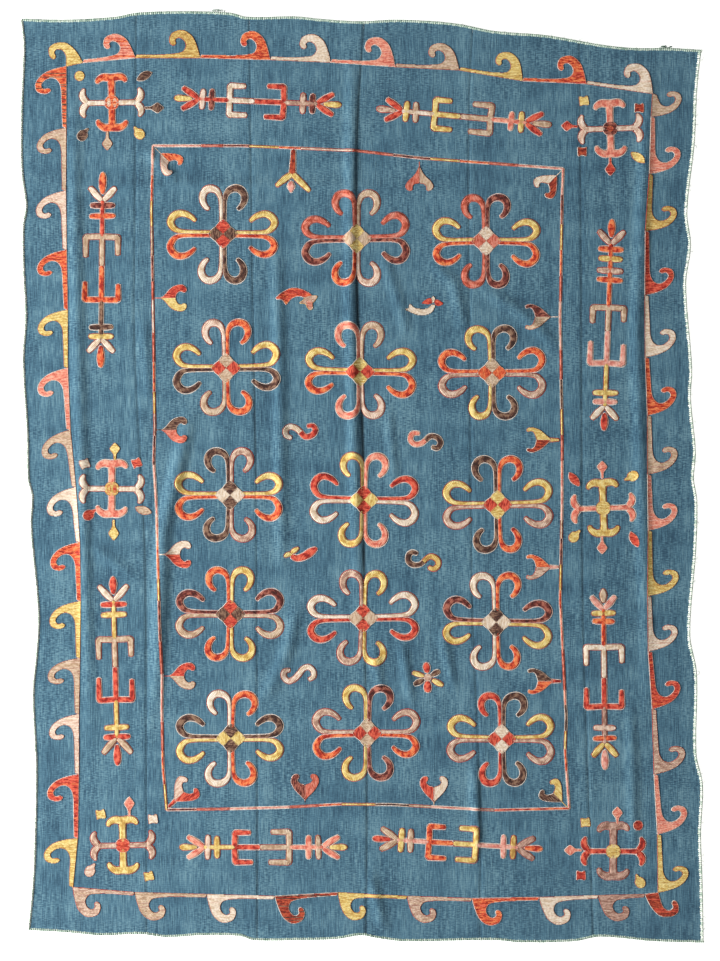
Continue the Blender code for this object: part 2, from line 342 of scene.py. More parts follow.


# Painted shade beside each seam, standing in for the shade in its gap and beside its folds, left to right:
# how dark all along it, then between the heights given in cm
paintedSeamShade = {
    "wide": (3.0 * mm, 3.0 * mm, 4.4 * mm, 3.0 * mm, 3.0 * mm),  # the middle seam gapes a little, so its painted shade is wider
    "all": (0.22, 0.26, 0.42, 0.2, 0.26),
    "darker": (
        (2, 36.0, 62.0, 0.5), (2, 0.0, 22.0, 0.5), (2, -28.0, -14.0, 0.45), (1, -6.0, 40.0, 0.3),
        (1, -125.0, -85.0, 0.25), (0, -60.0, 10.0, 0.2), (4, -40.0, 60.0, 0.2),
    ),
    "fade": 6.0 * cm,  # in which a darker stretch begins and ends
    "most": 0.85,
    "tint": (0.92, 0.98, 1.0),  # what the painted shade takes from each colour
}


def paintedShadeBySeams(x, y):  # painted shade: 1 on the open cloth, less beside a seam
    tone = np.ones(np.shape(x))
    for number, seamAt in enumerate(seamsAt):
        deep = np.full(np.shape(y), paintedSeamShade["all"][number])
        for which, low, high, more in paintedSeamShade["darker"]:
            if which == number:
                begun = np.clip((y - low * cm) / paintedSeamShade["fade"], 0, 1)
                deep = deep + more * begun * np.clip((high * cm - y) / paintedSeamShade["fade"], 0, 1)
        away = (x - seamAt(y)) / paintedSeamShade["wide"][number]
        tone = tone * (1 - np.clip(deep, 0, paintedSeamShade["most"]) * np.exp(-away * away))
    return tone


def makeStripCloth(number):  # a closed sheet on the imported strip's folds, on a finer grid
    sides = stripSides(number)
    steps = np.array(cloth["sideSteps"])
    across = np.concatenate([steps, np.linspace(0, 1, cloth["cellsAcross"] + 1)[1:-1], 1 - steps[::-1]])
    along = np.linspace(0, 1, cloth["cellsAlong"] + 1)
    u, v = np.meshgrid(across, along)
    x, y = placeInStrip(u, v, sides)
    low, high = clothLift(x, y), clothTop(x, y)
    rows, columns = x.shape
    count = rows * columns
    points = np.concatenate([
        np.stack([x, y, low], -1).reshape(-1, 3), np.stack([x, y, high], -1).reshape(-1, 3)])
    index = np.arange(count).reshape(rows, columns)
    a, b = index[:-1, :-1].ravel(), index[:-1, 1:].ravel()
    c, d = index[1:, 1:].ravel(), index[1:, :-1].ravel()
    under = np.stack([a, d, c, b], 1)
    upper = np.stack([a, b, c, d], 1) + count
    rim = np.concatenate([index[0], index[1:, -1], index[-1, -2::-1], index[-2:0:-1, 0]])
    after = np.roll(rim, -1)
    wall = np.stack([rim, after, after + count, rim + count], 1)
    mesh = bpy.data.meshes.new(f"strip_{number + 1}_cloth")
    mesh.from_pydata(points.tolist(), [], np.concatenate([under, upper, wall]).tolist())
    mesh.shade_smooth()
    mesh.set_sharp_from_angle(angle=math.radians(cloth["sharpAngle"]))
    mesh.materials.append(wool)
    # the vertex colour shade is painted shade beside the seams, multiplied into the wool's colour
    tone = np.tile(paintedShadeBySeams(x, y).ravel(), 2)[:, None]
    colours = np.ones((2 * count, 4), np.float32)
    colours[:, :3] = tone * np.array(paintedSeamShade["tint"]) ** (1 - tone)
    layer = mesh.color_attributes.new(name="shade", type="FLOAT_COLOR", domain="POINT")
    layer.data.foreach_set("color", colours.ravel())
    piece = putInScene(mesh.name, mesh)
    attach(piece, "root")
    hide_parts(f"strip_{number + 1}")
    return piece


for number in range(len(seamLines) + 1):
    makeStripCloth(number)


# Embroidery. Each piece gathers grids of stitches by name, as heights above the cloth, and becomes
# one mesh at the end. The columns of a grid run across a row of stitches, its rows along it.
dice = np.random.default_rng(rug["seed"])
gathered = {}

stitch = {
    "rowWide": 3.2 * mm,  # one row of chain stitch in a band, drawn a little coarse
    "fillPitch": 2.5 * mm,  # the same in a fill
    "high": 1.15 * mm,  # of a fill above the cloth
    "valley": 0.84,  # height between two rows, as a share
    "sink": -0.5 * mm,  # the fill's rim, under the cloth's face
    "crown": 0.15,  # share by which a band's outer rows lie lower
    "shoulder": 0.93,  # share of the half width at which a band turns down
    "narrowest": 0.4 * mm,  # half of a band
    "endShares": (0.12, 0.4),  # of a round end, where extra rows keep it round
    "endLeast": 0.02,  # the square of a round end's width, as a share
    "step": 5.0 * mm,
    "fillStep": 7.0 * mm,
    "outlineStep": 4.0 * mm,
    "overlap": 0.52,  # half a row of a fill, as a share of the pitch
    "shortest": 1.2 * mm,  # row in a fill
    "secondShare": 0.16,  # of a fill's rows in its second yarn
    "cordWide": 3.1 * mm,
    "cordHigh": 0.85 * mm,
    "rimHigh": 1.3 * mm,  # cord that lies on a fill's rim
    "rimOut": 1.1 * mm,  # its way from a band's side
    "rimStep": 3.0 * mm,
    "link": 1.9 * mm,  # half a chain link
    "linkWide": (0.8, 1.08),  # at its ends and its middle, as shares
    "yarnShift": 9,  # m, within which each row starts somewhere on its yarn
}


def addGrid(piece, yarn, x, y, z, u, v):
    store = gathered.setdefault(piece, {"points": [], "quads": [], "uvs": [], "yarns": [], "count": 0})
    rows, columns = x.shape
    index = store["count"] + np.arange(rows * columns).reshape(rows, columns)
    quads = np.stack([index[:-1, :-1], index[:-1, 1:], index[1:, 1:], index[1:, :-1]], -1).reshape(-1, 4)
    store["points"].append(np.stack([x, y, z], -1).reshape(-1, 3))
    store["uvs"].append(np.stack([u, v], -1).reshape(-1, 2))
    store["quads"].append(quads)
    store["yarns"].append((yarn, len(quads)))
    store["count"] += rows * columns


# Places about step apart on the line through the rows, with the distance along it
def pathThrough(rows, step, smooth=True):
    rows = np.array(rows, float)
    gaps = np.hypot(rows[1:, 0] - rows[:-1, 0], rows[1:, 1] - rows[:-1, 1])
    place = np.concatenate([[0.0], np.cumsum(np.maximum(gaps, 1e-6))])
    at = np.linspace(0, place[-1], max(int(round(place[-1] / step)), 2) + 1)
    if smooth:
        return smoothAt(place, rows, at), at
    return np.stack([np.interp(at, place, column) for column in rows.T], 1), at


def leftOf(path):  # unit vectors to the left of the way the path runs
    way = np.gradient(path[:, :2], axis=0)
    way /= np.maximum(np.hypot(way[:, 0], way[:, 1]), 1e-9)[:, None]
    return np.stack([-way[:, 1], way[:, 0]], 1)


def ribbon(piece, yarn, path, where, half, side, z):  # a grid along the path, with its yarn's coordinates
    left = leftOf(path)
    off = side * half[:, None]
    start = dice.uniform(0, stitch["yarnShift"])
    addGrid(piece, yarn, path[:, 0:1] - left[:, 0:1] * off, path[:, 1:2] - left[:, 1:2] * off, z,
            where[:, None] + start + 0 * off, off + start)


# A band filled with rows of stitches that run along it. The rows give x, y and the full width
def stroke(piece, yarn, rows, roundEnds=(True, True)):
    path, at = pathThrough(rows, stitch["step"])
    half = np.maximum(path[:, 2] / 2, stitch["narrowest"])
    ends = [half[0] if roundEnds[0] else 0.0, half[-1] if roundEnds[1] else 0.0]
    extra = [e for s in stitch["endShares"] for e in (ends[0] * s, at[-1] - ends[1] * s) if 0 < e < at[-1]]
    where = np.unique(np.concatenate([at, extra]))
    path = np.stack([np.interp(where, at, path[:, c]) for c in range(3)], 1)
    half = np.interp(where, at, half)
    for end, away in ((0, where), (1, where[-1] - where)):
        if roundEnds[end]:
            s = np.clip(away / max(ends[end], 1e-6), 0, 1)
            half = half * np.sqrt(np.maximum(1 - (1 - s) ** 2, stitch["endLeast"]))
    count = max(int(round(float(np.median(path[:, 2])) / stitch["rowWide"])), 1)
    side = np.linspace(-1, 1, 2 * count + 1)
    profile = np.where(np.arange(len(side)) % 2 == 1, 1.0, stitch["valley"])
    profile = profile * (1 - stitch["crown"] * side * side)
    z = np.concatenate([[0.0], profile, [0.0]]) * stitch["high"] * np.ones((len(where), 1))
    z[:, 0] = z[:, -1] = stitch["sink"]
    ribbon(piece, yarn, path, where, half, np.concatenate([[-1.0], side * stitch["shoulder"], [1.0]]), z)


# One line of chain stitch: a thin cord, wider in the middle of each link
def cord(piece, yarn, rows, closed=False, high=None, wide=None, smooth=True):
    rows = np.array(rows, float)[:, :2]
    if closed:
        rows = np.concatenate([rows, rows[:1]])
    path, at = pathThrough(rows, stitch["link"], smooth)
    half = (wide or stitch["cordWide"]) / 2 * np.array(stitch["linkWide"])[np.arange(len(at)) % 2]
    z = np.array([stitch["sink"], high or stitch["cordHigh"], stitch["sink"]]) * np.ones((len(at), 1))
    ribbon(piece, yarn, path, at, half, np.array([-1.0, 0.0, 1.0]), z)


def rimOf(rows, roundEnds=(True, True)):  # the closed line round a stroke, a little outside it
    path, at = pathThrough(rows, stitch["rimStep"])
    half = path[:, 2] / 2 + stitch["rimOut"]
    left = leftOf(path)

    def cap(end, onward):  # the half circle round an end
        way = left[end][[1, 0]] * [1, -1] * onward
        middle = path[end, :2] - way * path[end, 2] / 2
        angles = np.linspace(0, math.pi, 7)[1:-1]
        return [middle + half[end] * (left[end] * math.cos(a) * onward + way * math.sin(a)) for a in angles]

    one, other = path[:, :2] + left * half[:, None], path[:, :2] - left * half[:, None]
    bare = one[:0]
    parts = [one, cap(-1, 1) if roundEnds[1] else bare, other[::-1], cap(0, -1) if roundEnds[0] else bare]
    return np.concatenate(parts)


def outlined(piece, yarn, rows, roundEnds=(True, True)):  # a stroke with its contrast line round it
    cord(piece, rimYarn[yarn], rimOf(rows, roundEnds), closed=True)
    stroke(piece, yarn, rows, roundEnds)


# Rows of stitches across a closed outline, at the angle turn, then the contrast line on its rim. A few
# rows take a second yarn
def fill(piece, yarn, outline, turn=0.0, rim=None, second=None):
    c, s = math.cos(turn), math.sin(turn)
    across = outline @ np.array([[c, -s], [s, c]])
    low, high = across[:, 1].min(), across[:, 1].max()
    after = np.roll(across, -1, axis=0)
    count = max(int(round((high - low) / stitch["fillPitch"])), 1)
    pitch = (high - low) / count
    side = np.array([1.0, 0.0, -1.0]) * stitch["overlap"] * pitch
    profile = np.array([stitch["valley"], 1.0, stitch["valley"]]) * stitch["high"]
    for number in range(count):
        middle = low + (number + 0.5) * pitch
        crossing = (across[:, 1] <= middle) != (after[:, 1] <= middle)
        a, b = across[crossing], after[crossing]
        hits = np.sort(a[:, 0] + (middle - a[:, 1]) / (b[:, 1] - a[:, 1]) * (b[:, 0] - a[:, 0]))
        for start, end in zip(hits[::2], hits[1::2]):
            if end - start < stitch["shortest"]:
                continue
            steps = max(int(round((end - start) / stitch["fillStep"])), 1)
            px = np.linspace(start, end, steps + 1)[:, None] * np.ones(3)
            py = middle + side * np.ones((steps + 1, 1))
            shift = dice.uniform(0, stitch["yarnShift"])
            own = second if second and dice.random() < stitch["secondShare"] else yarn
            addGrid(piece, own, px * c - py * s, px * s + py * c, profile + 0 * px,
                    px + shift, py - middle + shift)
    cord(piece, rim or rimYarn[yarn], outline, closed=True, high=stitch["rimHigh"], smooth=False)


# A fill whose outline runs smoothly through the corners
def patch(piece, yarn, corners, turn=0.0, rim=None, second=None):
    rows = np.array(list(corners) + [corners[0]], float)
    fill(piece, yarn, pathThrough(rows, stitch["outlineStep"])[0][:-1], turn, rim, second)


# Rows of x, y and any widths, in mm, turned by the angle and moved to the origin in m
def turned(rows, origin, angle, flip=1):
    rows = np.array(rows, float) * mm
    c, s = math.cos(angle), math.sin(angle)
    x, y = rows[:, 0].copy(), rows[:, 1] * flip
    rows[:, 0] = origin[0] + x * c - y * s
    rows[:, 1] = origin[1] + x * s + y * c
    return rows


# Chain-stitched wool yarns, dyed in the hank. They give the eye bands of lighter and darker colour
# along each line of stitches, and a row of small links.
yarnColours = {  # middle, lighter, darker
    "yellow": "#DFC06F #EFD992 #C59A4C",
    "ochre": "#CDA558 #DDBD74 #AF8340",
    "cream": "#E4CFB6 #F0E1CE #D0B496",
    "creamPink": "#E0C1AA #EDD6C4 #CBA28B",
    "salmon": "#E58A72 #F3AC92 #CC6250",
    "pink": "#E39A88 #EDB5A3 #CC7769",
    "taupe": "#C8AA8C #D8C0A6 #AE8C6F",
    "pinkTaupe": "#C7A38B #DDC2AC #A67D6B",
    "mauve": "#B38A79 #CCA794 #8D6453",
    "red": "#C8412F #E56B4F #8C1D15",
    "orangeRed": "#DB5730 #F28C55 #9E2416",
    "darkRed": "#9C341F #C25735 #65190F",
    "rose": "#CE6853 #DE8C76 #A9472F",
    "brown": "#5B382C #917059 #38211A",
    "maroon": "#712F27 #AE6854 #441912",
    "rimPink": "#E4BFAE #F0D5C8 #CE9F8D",
    "rimBrick": "#A9503F #BE6D59 #87362B",
    "rimRed": "#B23A2C #C75845 #8E271D",
    "rimDark": "#5C4640 #77605A #40302D",
    "rimCream": "#E6D2C0 #F1E3D6 #D2B7A1",
}
rimYarn = {
    "yellow": "rimBrick", "ochre": "rimRed", "cream": "rimBrick", "creamPink": "rimBrick",
    "salmon": "rimCream", "pink": "rimCream", "rose": "rimBrick", "taupe": "rimBrick",
    "pinkTaupe": "rimRed", "mauve": "rimBrick", "red": "rimPink", "orangeRed": "rimPink",
    "darkRed": "rimCream", "brown": "rimCream", "maroon": "rimPink",
}
yarnLook = {
    "bandLong": 16.0,  # mm, of one dyed band
    "bandWide": 12.0,  # mm, about four threads
    "linkLong": 3.8,  # mm
    "detail": 3.0,  # of the noise that makes the bands, and its roughness
    "noiseRough": 0.58,
    "stops": (0.39, 0.49, 0.6),  # of the darker, middle and lighter tone
    "bump": 0.35,
    "bumpHigh": 0.5 * mm,
    "roughness": 0.85,
    "sheen": 0.3,
    "specular": 0.2,
}


def makeYarn(name, colours):
    v = yarnLook
    middle, light, dark = colours.split()
    material, tree, shader = newMaterial(f"chain-stitched wool yarn {name}")
    spot = addNode(tree, "TexCoord")
    parts = addNode(tree, "SeparateXYZ", links={0: spot.outputs["UV"]})
    times = {"operation": "MULTIPLY"}
    along = addNode(tree, "Math", times, {0: parts.outputs[0], 1: 1000 / v["bandLong"]})
    across = addNode(tree, "Math", times, {0: parts.outputs[1], 1: 1000 / v["bandWide"]})
    both = addNode(tree, "CombineXYZ", links={0: along.outputs[0], 1: across.outputs[0]})
    band = addNode(tree, "TexNoise", links={
        "Vector": both.outputs[0], "Scale": 1.0, "Detail": v["detail"], "Roughness": v["noiseRough"]})
    ramp = addNode(tree, "ValToRGB", links={0: band.outputs[0]})
    rampStops(ramp, zip(v["stops"], (dark, middle, light)))
    link = addNode(tree, "Math", times, {0: parts.outputs[0], 1: 2 * math.pi * 1000 / v["linkLong"]})
    wave = addNode(tree, "Math", {"operation": "SINE"}, {0: link.outputs[0]})
    finishWool(tree, shader, v, ramp.outputs[0], wave.outputs[0])
    return material


yarns = {name: makeYarn(name, colours) for name, colours in yarnColours.items()}


# The border: hooks that run round the rug, each on a line to the next one's corner
Hook = namedtuple("Hook", "x y yarn second")  # base corner in cm, going round from the top right
hooks = (
    Hook(78.4, 103.4, "cream", "creamPink"), Hook(60.5, 106.1, "orangeRed", "red"),
    Hook(43.3, 106.9, "yellow", "ochre"), Hook(26.2, 109.8, "taupe", "pinkTaupe"),
    Hook(8.9, 110.7, "salmon", "pink"), Hook(-8.5, 111.9, "cream", "creamPink"),
    Hook(-24.8, 112.6, "orangeRed", "red"), Hook(-43.7, 113.1, "ochre", "yellow"),
    Hook(-61.2, 113.1, "salmon", "orangeRed"), Hook(-75.3, 111.8, "yellow", "ochre"),
    Hook(-79.8, 110.8, "orangeRed", "brown"), Hook(-79.8, 94.2, "taupe", "pinkTaupe"),
    Hook(-79.9, 77.2, "creamPink", "cream"), Hook(-79.7, 61.3, "orangeRed", "red"),
    Hook(-79.4, 45.1, "yellow", "ochre"), Hook(-79.4, 29.4, "salmon", "pink"),
    Hook(-78.7, 12.7, "taupe", "pinkTaupe"), Hook(-77.2, -2.7, "cream", "creamPink"),
    Hook(-76.1, -17.6, "orangeRed", "red"), Hook(-75.9, -33.5, "yellow", "ochre"),
    Hook(-76.1, -48.9, "taupe", "pinkTaupe"), Hook(-76.4, -64.0, "creamPink", "cream"),
    Hook(-76.4, -80.2, "red", "orangeRed"), Hook(-76.7, -97.5, "yellow", "ochre"),
    Hook(-78.0, -110.7, "pinkTaupe", "taupe"), Hook(-61.3, -112.1, "taupe", "mauve"),
    Hook(-41.9, -112.6, "cream", "creamPink"), Hook(-23.5, -113.1, "darkRed", "brown"),
    Hook(-6.5, -112.1, "yellow", "ochre"), Hook(12.2, -113.1, "pinkTaupe", "taupe"),
    Hook(29.7, -113.7, "orangeRed", "red"), Hook(47.8, -113.4, "cream", "creamPink"),
    Hook(63.7, -112.9, "mauve", "pinkTaupe"), Hook(76.3, -112.6, "darkRed", "red"),
    Hook(79.9, -112.1, "yellow", "ochre"), Hook(79.7, -96.4, "salmon", "pink"),
    Hook(78.8, -80.2, "pinkTaupe", "mauve"), Hook(78.3, -62.6, "red", "orangeRed"),
    Hook(77.2, -47.0, "cream", "creamPink"), Hook(77.0, -32.1, "yellow", "ochre"),
    Hook(77.2, -14.4, "salmon", "pink"), Hook(77.0, 0.7, "taupe", "pinkTaupe"),
    Hook(77.0, 16.6, "orangeRed", "red"), Hook(76.4, 32.3, "cream", "creamPink"),
    Hook(76.3, 49.1, "red", "darkRed"), Hook(76.4, 66.4, "ochre", "yellow"),
    Hook(77.5, 81.8, "salmon", "pink"), Hook(78.0, 97.2, "taupe", "pinkTaupe"),
)
hookPieces = ("border_top",) * 10 + ("border_left",) * 14 + ("border_bottom",) * 10 + ("border_right",) * 14
# A hook in mm: along its line, and outward. Out from the corner and round to the tip, then back
# along the inner curve to the line
endHookOut = ((0, 0), (7, 26), (19, 54), (36, 69), (52, 73), (74, 65), (81, 48), (77, 36), (68, 33), (64, 38))
endHookIn = ((64, 38), (66, 48), (55, 54), (42, 46), (37, 31), (46, 16), (74, 10), (106, 8))
sideHookOut = ((0, 0), (8, 34), (19, 59), (34, 75), (51, 82), (66, 77), (72, 60), (69, 46), (62, 41),
               (58, 48))
sideHookIn = ((58, 48), (60, 61), (51, 67), (39, 60), (30, 43), (34, 26), (52, 15), (98, 12))
cornerHookOut = ((0, 0), (13, 36), (33, 61), (60, 67), (80, 60), (85, 44), (81, 30), (73, 27), (69, 34))
cornerHookIn = ((69, 34), (71, 44), (62, 51), (48, 46), (41, 30))
border = {
    "endLineWide": 7.5,  # mm, of the line at its far end, at the rug's ends and sides
    "sideLineWide": 9.5,
    "cornerMost": 60,  # mm, a shorter hook turns the corner itself, with no line
    "curlPoints": 5,  # of the inner curve, up to its deepest
    "lineGap": 4,  # mm, least from a point of the line to its end
    "tall": (0.94, 1.05),
    "wide": (0.95, 1.05),
    "baseStep": 8 * mm,
}


def sewHook(number):
    here, after = hooks[number], hooks[(number + 1) % len(hooks)]
    start, end = np.array([here.x, here.y]) * cm, np.array([after.x, after.y]) * cm
    length = float(np.hypot(*(end - start))) / mm
    angle = math.atan2(*(end - start)[::-1])
    lying = abs(math.cos(angle)) > abs(math.sin(angle))
    out, back = (endHookOut, endHookIn) if lying else (sideHookOut, sideHookIn)
    lineWide = border["endLineWide"] if lying else border["sideLineWide"]
    if length < border["cornerMost"]:
        out, back, lineWide = cornerHookOut, cornerHookIn, 0
    tall, wide = dice.uniform(*border["tall"]), dice.uniform(*border["wide"])
    outward = [(a * wide, -b * tall) for a, b in out]
    inward = [(a * wide, -b * tall) for a, b in back]
    curl, line = inward[:border["curlPoints"]], inward[border["curlPoints"]:]
    inward = curl + [p for p in line if p[0] < length - border["lineGap"]] + [(length, -lineWide)]
    base = ((length, 0), (0, 0))
    runs = ((outward, stitch["outlineStep"]), (inward, stitch["outlineStep"]), (base, border["baseStep"]))
    outline = np.concatenate([pathThrough(turned(rows, start, angle), step)[0][:-1] for rows, step in runs])
    fill(hookPieces[number], here.yarn, outline, second=here.second)


for number in range(len(hooks)):
    sewHook(number)
print("scene: border sewn")


# Fifteen medallions of four arms, each arm a pair of ram's horns
# In cm, then the yarns of the top and bottom arm, the side arms, the middle, and the bottom if it differs
Medallion = namedtuple("Medallion", "x y top sides middle bottom", defaults=(None,))
medallions = (
    Medallion(-37.5, 65.6, "cream brown", "yellow orangeRed", "red brown"),
    Medallion(-1.4, 64.3, "rose taupe", "rose maroon", "yellow taupe", "orangeRed creamPink"),
    Medallion(33.5, 63.7, "rose maroon", "yellow orangeRed", "cream rose"),
    Medallion(-36.7, 29.4, "creamPink orangeRed", "yellow brown", "taupe red", "taupe orangeRed"),
    Medallion(-0.5, 28.4, "salmon taupe", "yellow orangeRed", "yellow red", "salmon creamPink"),
    Medallion(35.1, 28.1, "yellow brown", "orangeRed pinkTaupe", "taupe orangeRed"),
    Medallion(-35.6, -4.9, "brown pinkTaupe", "yellow orangeRed", "brown cream"),
    Medallion(0.5, -6.2, "yellow salmon", "red cream", "red yellow"),
    Medallion(36.6, -7.5, "brown orangeRed", "yellow pinkTaupe", "yellow red"),
    Medallion(-35.5, -37.0, "orangeRed yellow", "maroon taupe", "red brown"),
    Medallion(0.3, -38.1, "pinkTaupe yellow", "cream red", "red taupe"),
    Medallion(36.2, -39.2, "cream orangeRed", "maroon yellow", "brown cream"),
    Medallion(-35.4, -70.5, "cream orangeRed", "brown yellow", "brown yellow"),
    Medallion(1.4, -69.1, "yellow maroon", "pinkTaupe orangeRed", "taupe red"),
    Medallion(37.7, -70.7, "red brown", "yellow pinkTaupe", "cream red"),
)
# One horn in mm: outward, sideways, full width
tallHorn = (
    (31, 4.4, 7.6), (62, 4.6, 7.8), (92, 5.6, 9.0), (107, 9.5, 12.0), (118, 20, 15.5), (123, 37, 17.5),
    (118, 53, 18.0), (105, 62, 17.0), (89, 62, 15.0), (75, 54, 12.0), (66, 43, 8.0),
)
wideHorn = (
    (31, 4.4, 7.6), (70, 4.6, 7.8), (105, 5.6, 9.0), (122, 9.5, 12.0), (133, 21, 15.5), (138, 36, 17.5),
    (131, 52, 18.0), (117, 61, 17.0), (100, 60, 15.0), (84, 51, 12.0), (72, 39, 8.0),
)
lobeRows = ((0, 0), (9, 9.5), (18, 18.5), (30, 11), (38, 0), (30, -11), (18, -18.5), (9, -9.5))
lobeRim = ((31, -11), (39, 0), (31, 11), (20, 20))
hornPlay = {  # how much one horn differs from the next
    "turn": 1.5,  # degrees
    "long": (0.95, 1.03),
    "broad": (0.86, 1.0),  # only of the curl, which is more than stemHalf away from the arm's middle
    "stemHalf": 15,  # mm
}


def sewMedallion(number, m):
    piece = f"horn_medallion_{number + 1}"
    middle = np.array([m.x, m.y]) * cm
    arms = ((90, m.top, 1), (270, m.bottom or m.top, -1), (180, m.sides, -1), (0, m.sides, 1))
    for angle, pair, side in arms:
        turn = math.radians(angle + dice.uniform(-hornPlay["turn"], hornPlay["turn"]))
        long = dice.uniform(*hornPlay["long"])
        horn = tallHorn if angle in (90, 270) else wideHorn
        for yarn, flip in zip(pair.split(), (side, -side)):
            broad = dice.uniform(*hornPlay["broad"])
            rows = [(u * long, v * (broad if v > hornPlay["stemHalf"] else 1), w) for u, v, w in horn]
            outlined(piece, yarn, turned(rows, middle, turn, flip), roundEnds=(False, True))
    topYarn, sideYarn = m.middle.split()
    for angle, yarn in ((90, topYarn), (270, topYarn), (0, sideYarn), (180, sideYarn)):
        patch(piece, yarn, turned(lobeRows, middle, math.radians(angle)), math.radians(angle + 90), yarn)
    around = np.concatenate([turned(lobeRim, middle, math.radians(angle)) for angle in (0, 90, 180, 270)])
    rim = "rimCream" if "red" in m.middle.lower() or "brown" in m.middle else "rimPink"
    cord(piece, rim, around, closed=True, high=stitch["rimHigh"])


for number, m in enumerate(medallions):
    sewMedallion(number, m)
print("scene: medallions sewn")


# The inner frame, a narrow line round the medallions
frameSides = {  # its bends, x, y in cm
    "top": ((-56.4, 89.4), (-32.9, 89.4), (-18.6, 88.8), (-1.1, 88.0), (15.4, 86.1), (25.9, 85.3),
            (54.3, 83.2)),
    "right": ((54.3, 83.2), (54.0, 75.9), (53.5, 42.9), (54.0, 10.0), (54.0, -6.2), (53.5, -33.2),
              (55.1, -65.1), (54.8, -73.7), (55.9, -89.4)),
    "bottom": ((-52.7, -89.8), (-38.3, -89.6), (-20.3, -89.1), (-6.0, -88.3), (8.0, -88.4), (21.1, -89.1),
               (35.6, -89.9), (55.9, -89.4)),
    "left": ((-56.4, 89.4), (-56.8, 72.1), (-56.4, 48.0), (-55.9, 12.7), (-56.2, 4.6), (-55.4, -8.9),
             (-54.5, -41.3), (-53.9, -53.7), (-54.0, -62.9), (-53.7, -77.8), (-52.7, -89.8)),
}
frameYarns = {  # the yarns one after another, and how many cm each one lasts
    "top": "pink 13, rose 6, maroon 7, yellow 8, orangeRed 6, creamPink 14, rose 11, maroon 10, yellow 8, "
           "orangeRed 8, rose 8, pink 12",
    "right": "pink 7, maroon 8, yellow 7, orangeRed 7, rose 7, pink 13, rose 8, brown 8, yellow 7, rose 7, "
             "salmon 5, pink 11, taupe 5, maroon 7, yellow 7, orangeRed 5, salmon 11, rose 11, salmon 4, "
             "brown 7, yellow 5, orangeRed 6, pink 10",
    "bottom": "maroon 8, rose 9, pink 16, rose 8, orangeRed 6, yellow 9, brown 9, taupe 6, pink 13, "
              "mauve 4, red 8, orangeRed 12",
    "left": "pink 8, orangeRed 7, yellow 7, taupe 8, maroon 7, rose 5, creamPink 9, rose 8, orangeRed 8, "
            "yellow 6, mauve 6, maroon 8, pink 14, salmon 8, orangeRed 9, yellow 6, maroon 11, rose 9, "
            "pink 13, rose 8, orangeRed 9, yellow 7",
}
frameWide = 4.3  # mm
bendGap = 5  # mm, least way from a bend to a change of yarn
for side, bends in frameSides.items():
    bends = np.array(bends) * 10
    reach = np.concatenate([[0], np.cumsum(np.hypot(*np.diff(bends, axis=0).T))])
    runs = [run.split() for run in frameYarns[side].split(", ")]
    ends = np.concatenate([[0], np.cumsum([float(long) for yarn, long in runs])])
    ends *= reach[-1] / ends[-1]
    for (yarn, long), begin, end in zip(runs, ends, ends[1:]):
        at = np.concatenate([[begin], reach[(reach > begin + bendGap) & (reach < end - bendGap)], [end]])
        rows = [(np.interp(d, reach, bends[:, 0]), np.interp(d, reach, bends[:, 1]), frameWide) for d in at]
        outlined("inner_frame", yarn, turned(rows, (0, 0), 0))
print("scene: inner frame sewn")


# Eight figures of two facing combs on a stem, with bars, chevrons and leaves at both ends. Columns: the
# two ends in cm, then the yarns from the first end to the other
Combs = namedtuple(
    "Combs", "x0 y0 x1 y1 leaf chevron barA barB stem comb comb2 stem2 barC barD chevron2 leaf2")
combs = [Combs(*ends, *names.split()) for *ends, names in (
    (-50.8, 102.3, -5.4, 100.4,
     "yellow red creamPink maroon red cream red pinkTaupe pinkTaupe maroon red yellow"),
    (3.8, 99.4, 51.3, 95.0,
     "pinkTaupe red yellow taupe cream yellow taupe salmon salmon yellow red taupe"),
    (-69.9, 82.4, -70.5, 29.4,
     "orangeRed cream maroon orangeRed red taupe orangeRed brown brown yellow cream orangeRed"),
    (-67.2, -26.7, -65.9, -78.0,
     "red cream red yellow yellow taupe red yellow yellow red taupe red"),
    (67.5, 69.7, 65.3, 12.4,
     "orangeRed pinkTaupe orangeRed yellow orangeRed taupe pink yellow yellow pink cream red"),
    (65.1, -30.0, 65.6, -79.1,
     "taupe pink yellow orangeRed orangeRed cream red mauve creamPink orangeRed yellow pink"),
    (-49.4, -99.9, -3.8, -99.9,
     "yellow salmon creamPink yellow yellow red taupe salmon salmon taupe salmon yellow"),
    (2.7, -97.5, 48.9, -100.4,
     "red taupe yellow taupe pink orangeRed yellow pink pink ochre mauve orangeRed"),
)]
combMarks = {  # places along a figure as shares of its length, sizes in mm
    "chevronPoint": 0.147, "barA": 0.172, "barB": 0.226, "spine": 0.333, "prong": 0.425, "change": 0.48,
    "prong2": 0.545, "spine2": 0.652, "barC": 0.768, "barD": 0.825, "chevron2": 0.853,
    "barHalf": 31.0, "barWide": 14.0, "combHalf": 45.0, "combWide": 14.0, "stemWide": 10.5,
    "chevronBack": 44.0, "chevronHalf": 29.0, "chevronWide": 16.0, "leafWide": 15.0,
    "cornerOut": 9.0, "cornerIn": 10.0,  # from a comb's corner, where its prong and its spine run straight
    "prongEnd": 6.0, "prongThin": 3.0,  # by which the second prong is shorter, and their ends narrower
    "leafGap": 18.0, "leafTip": 11.0,  # from the chevron's point, and from the leaf's end to its full width
}
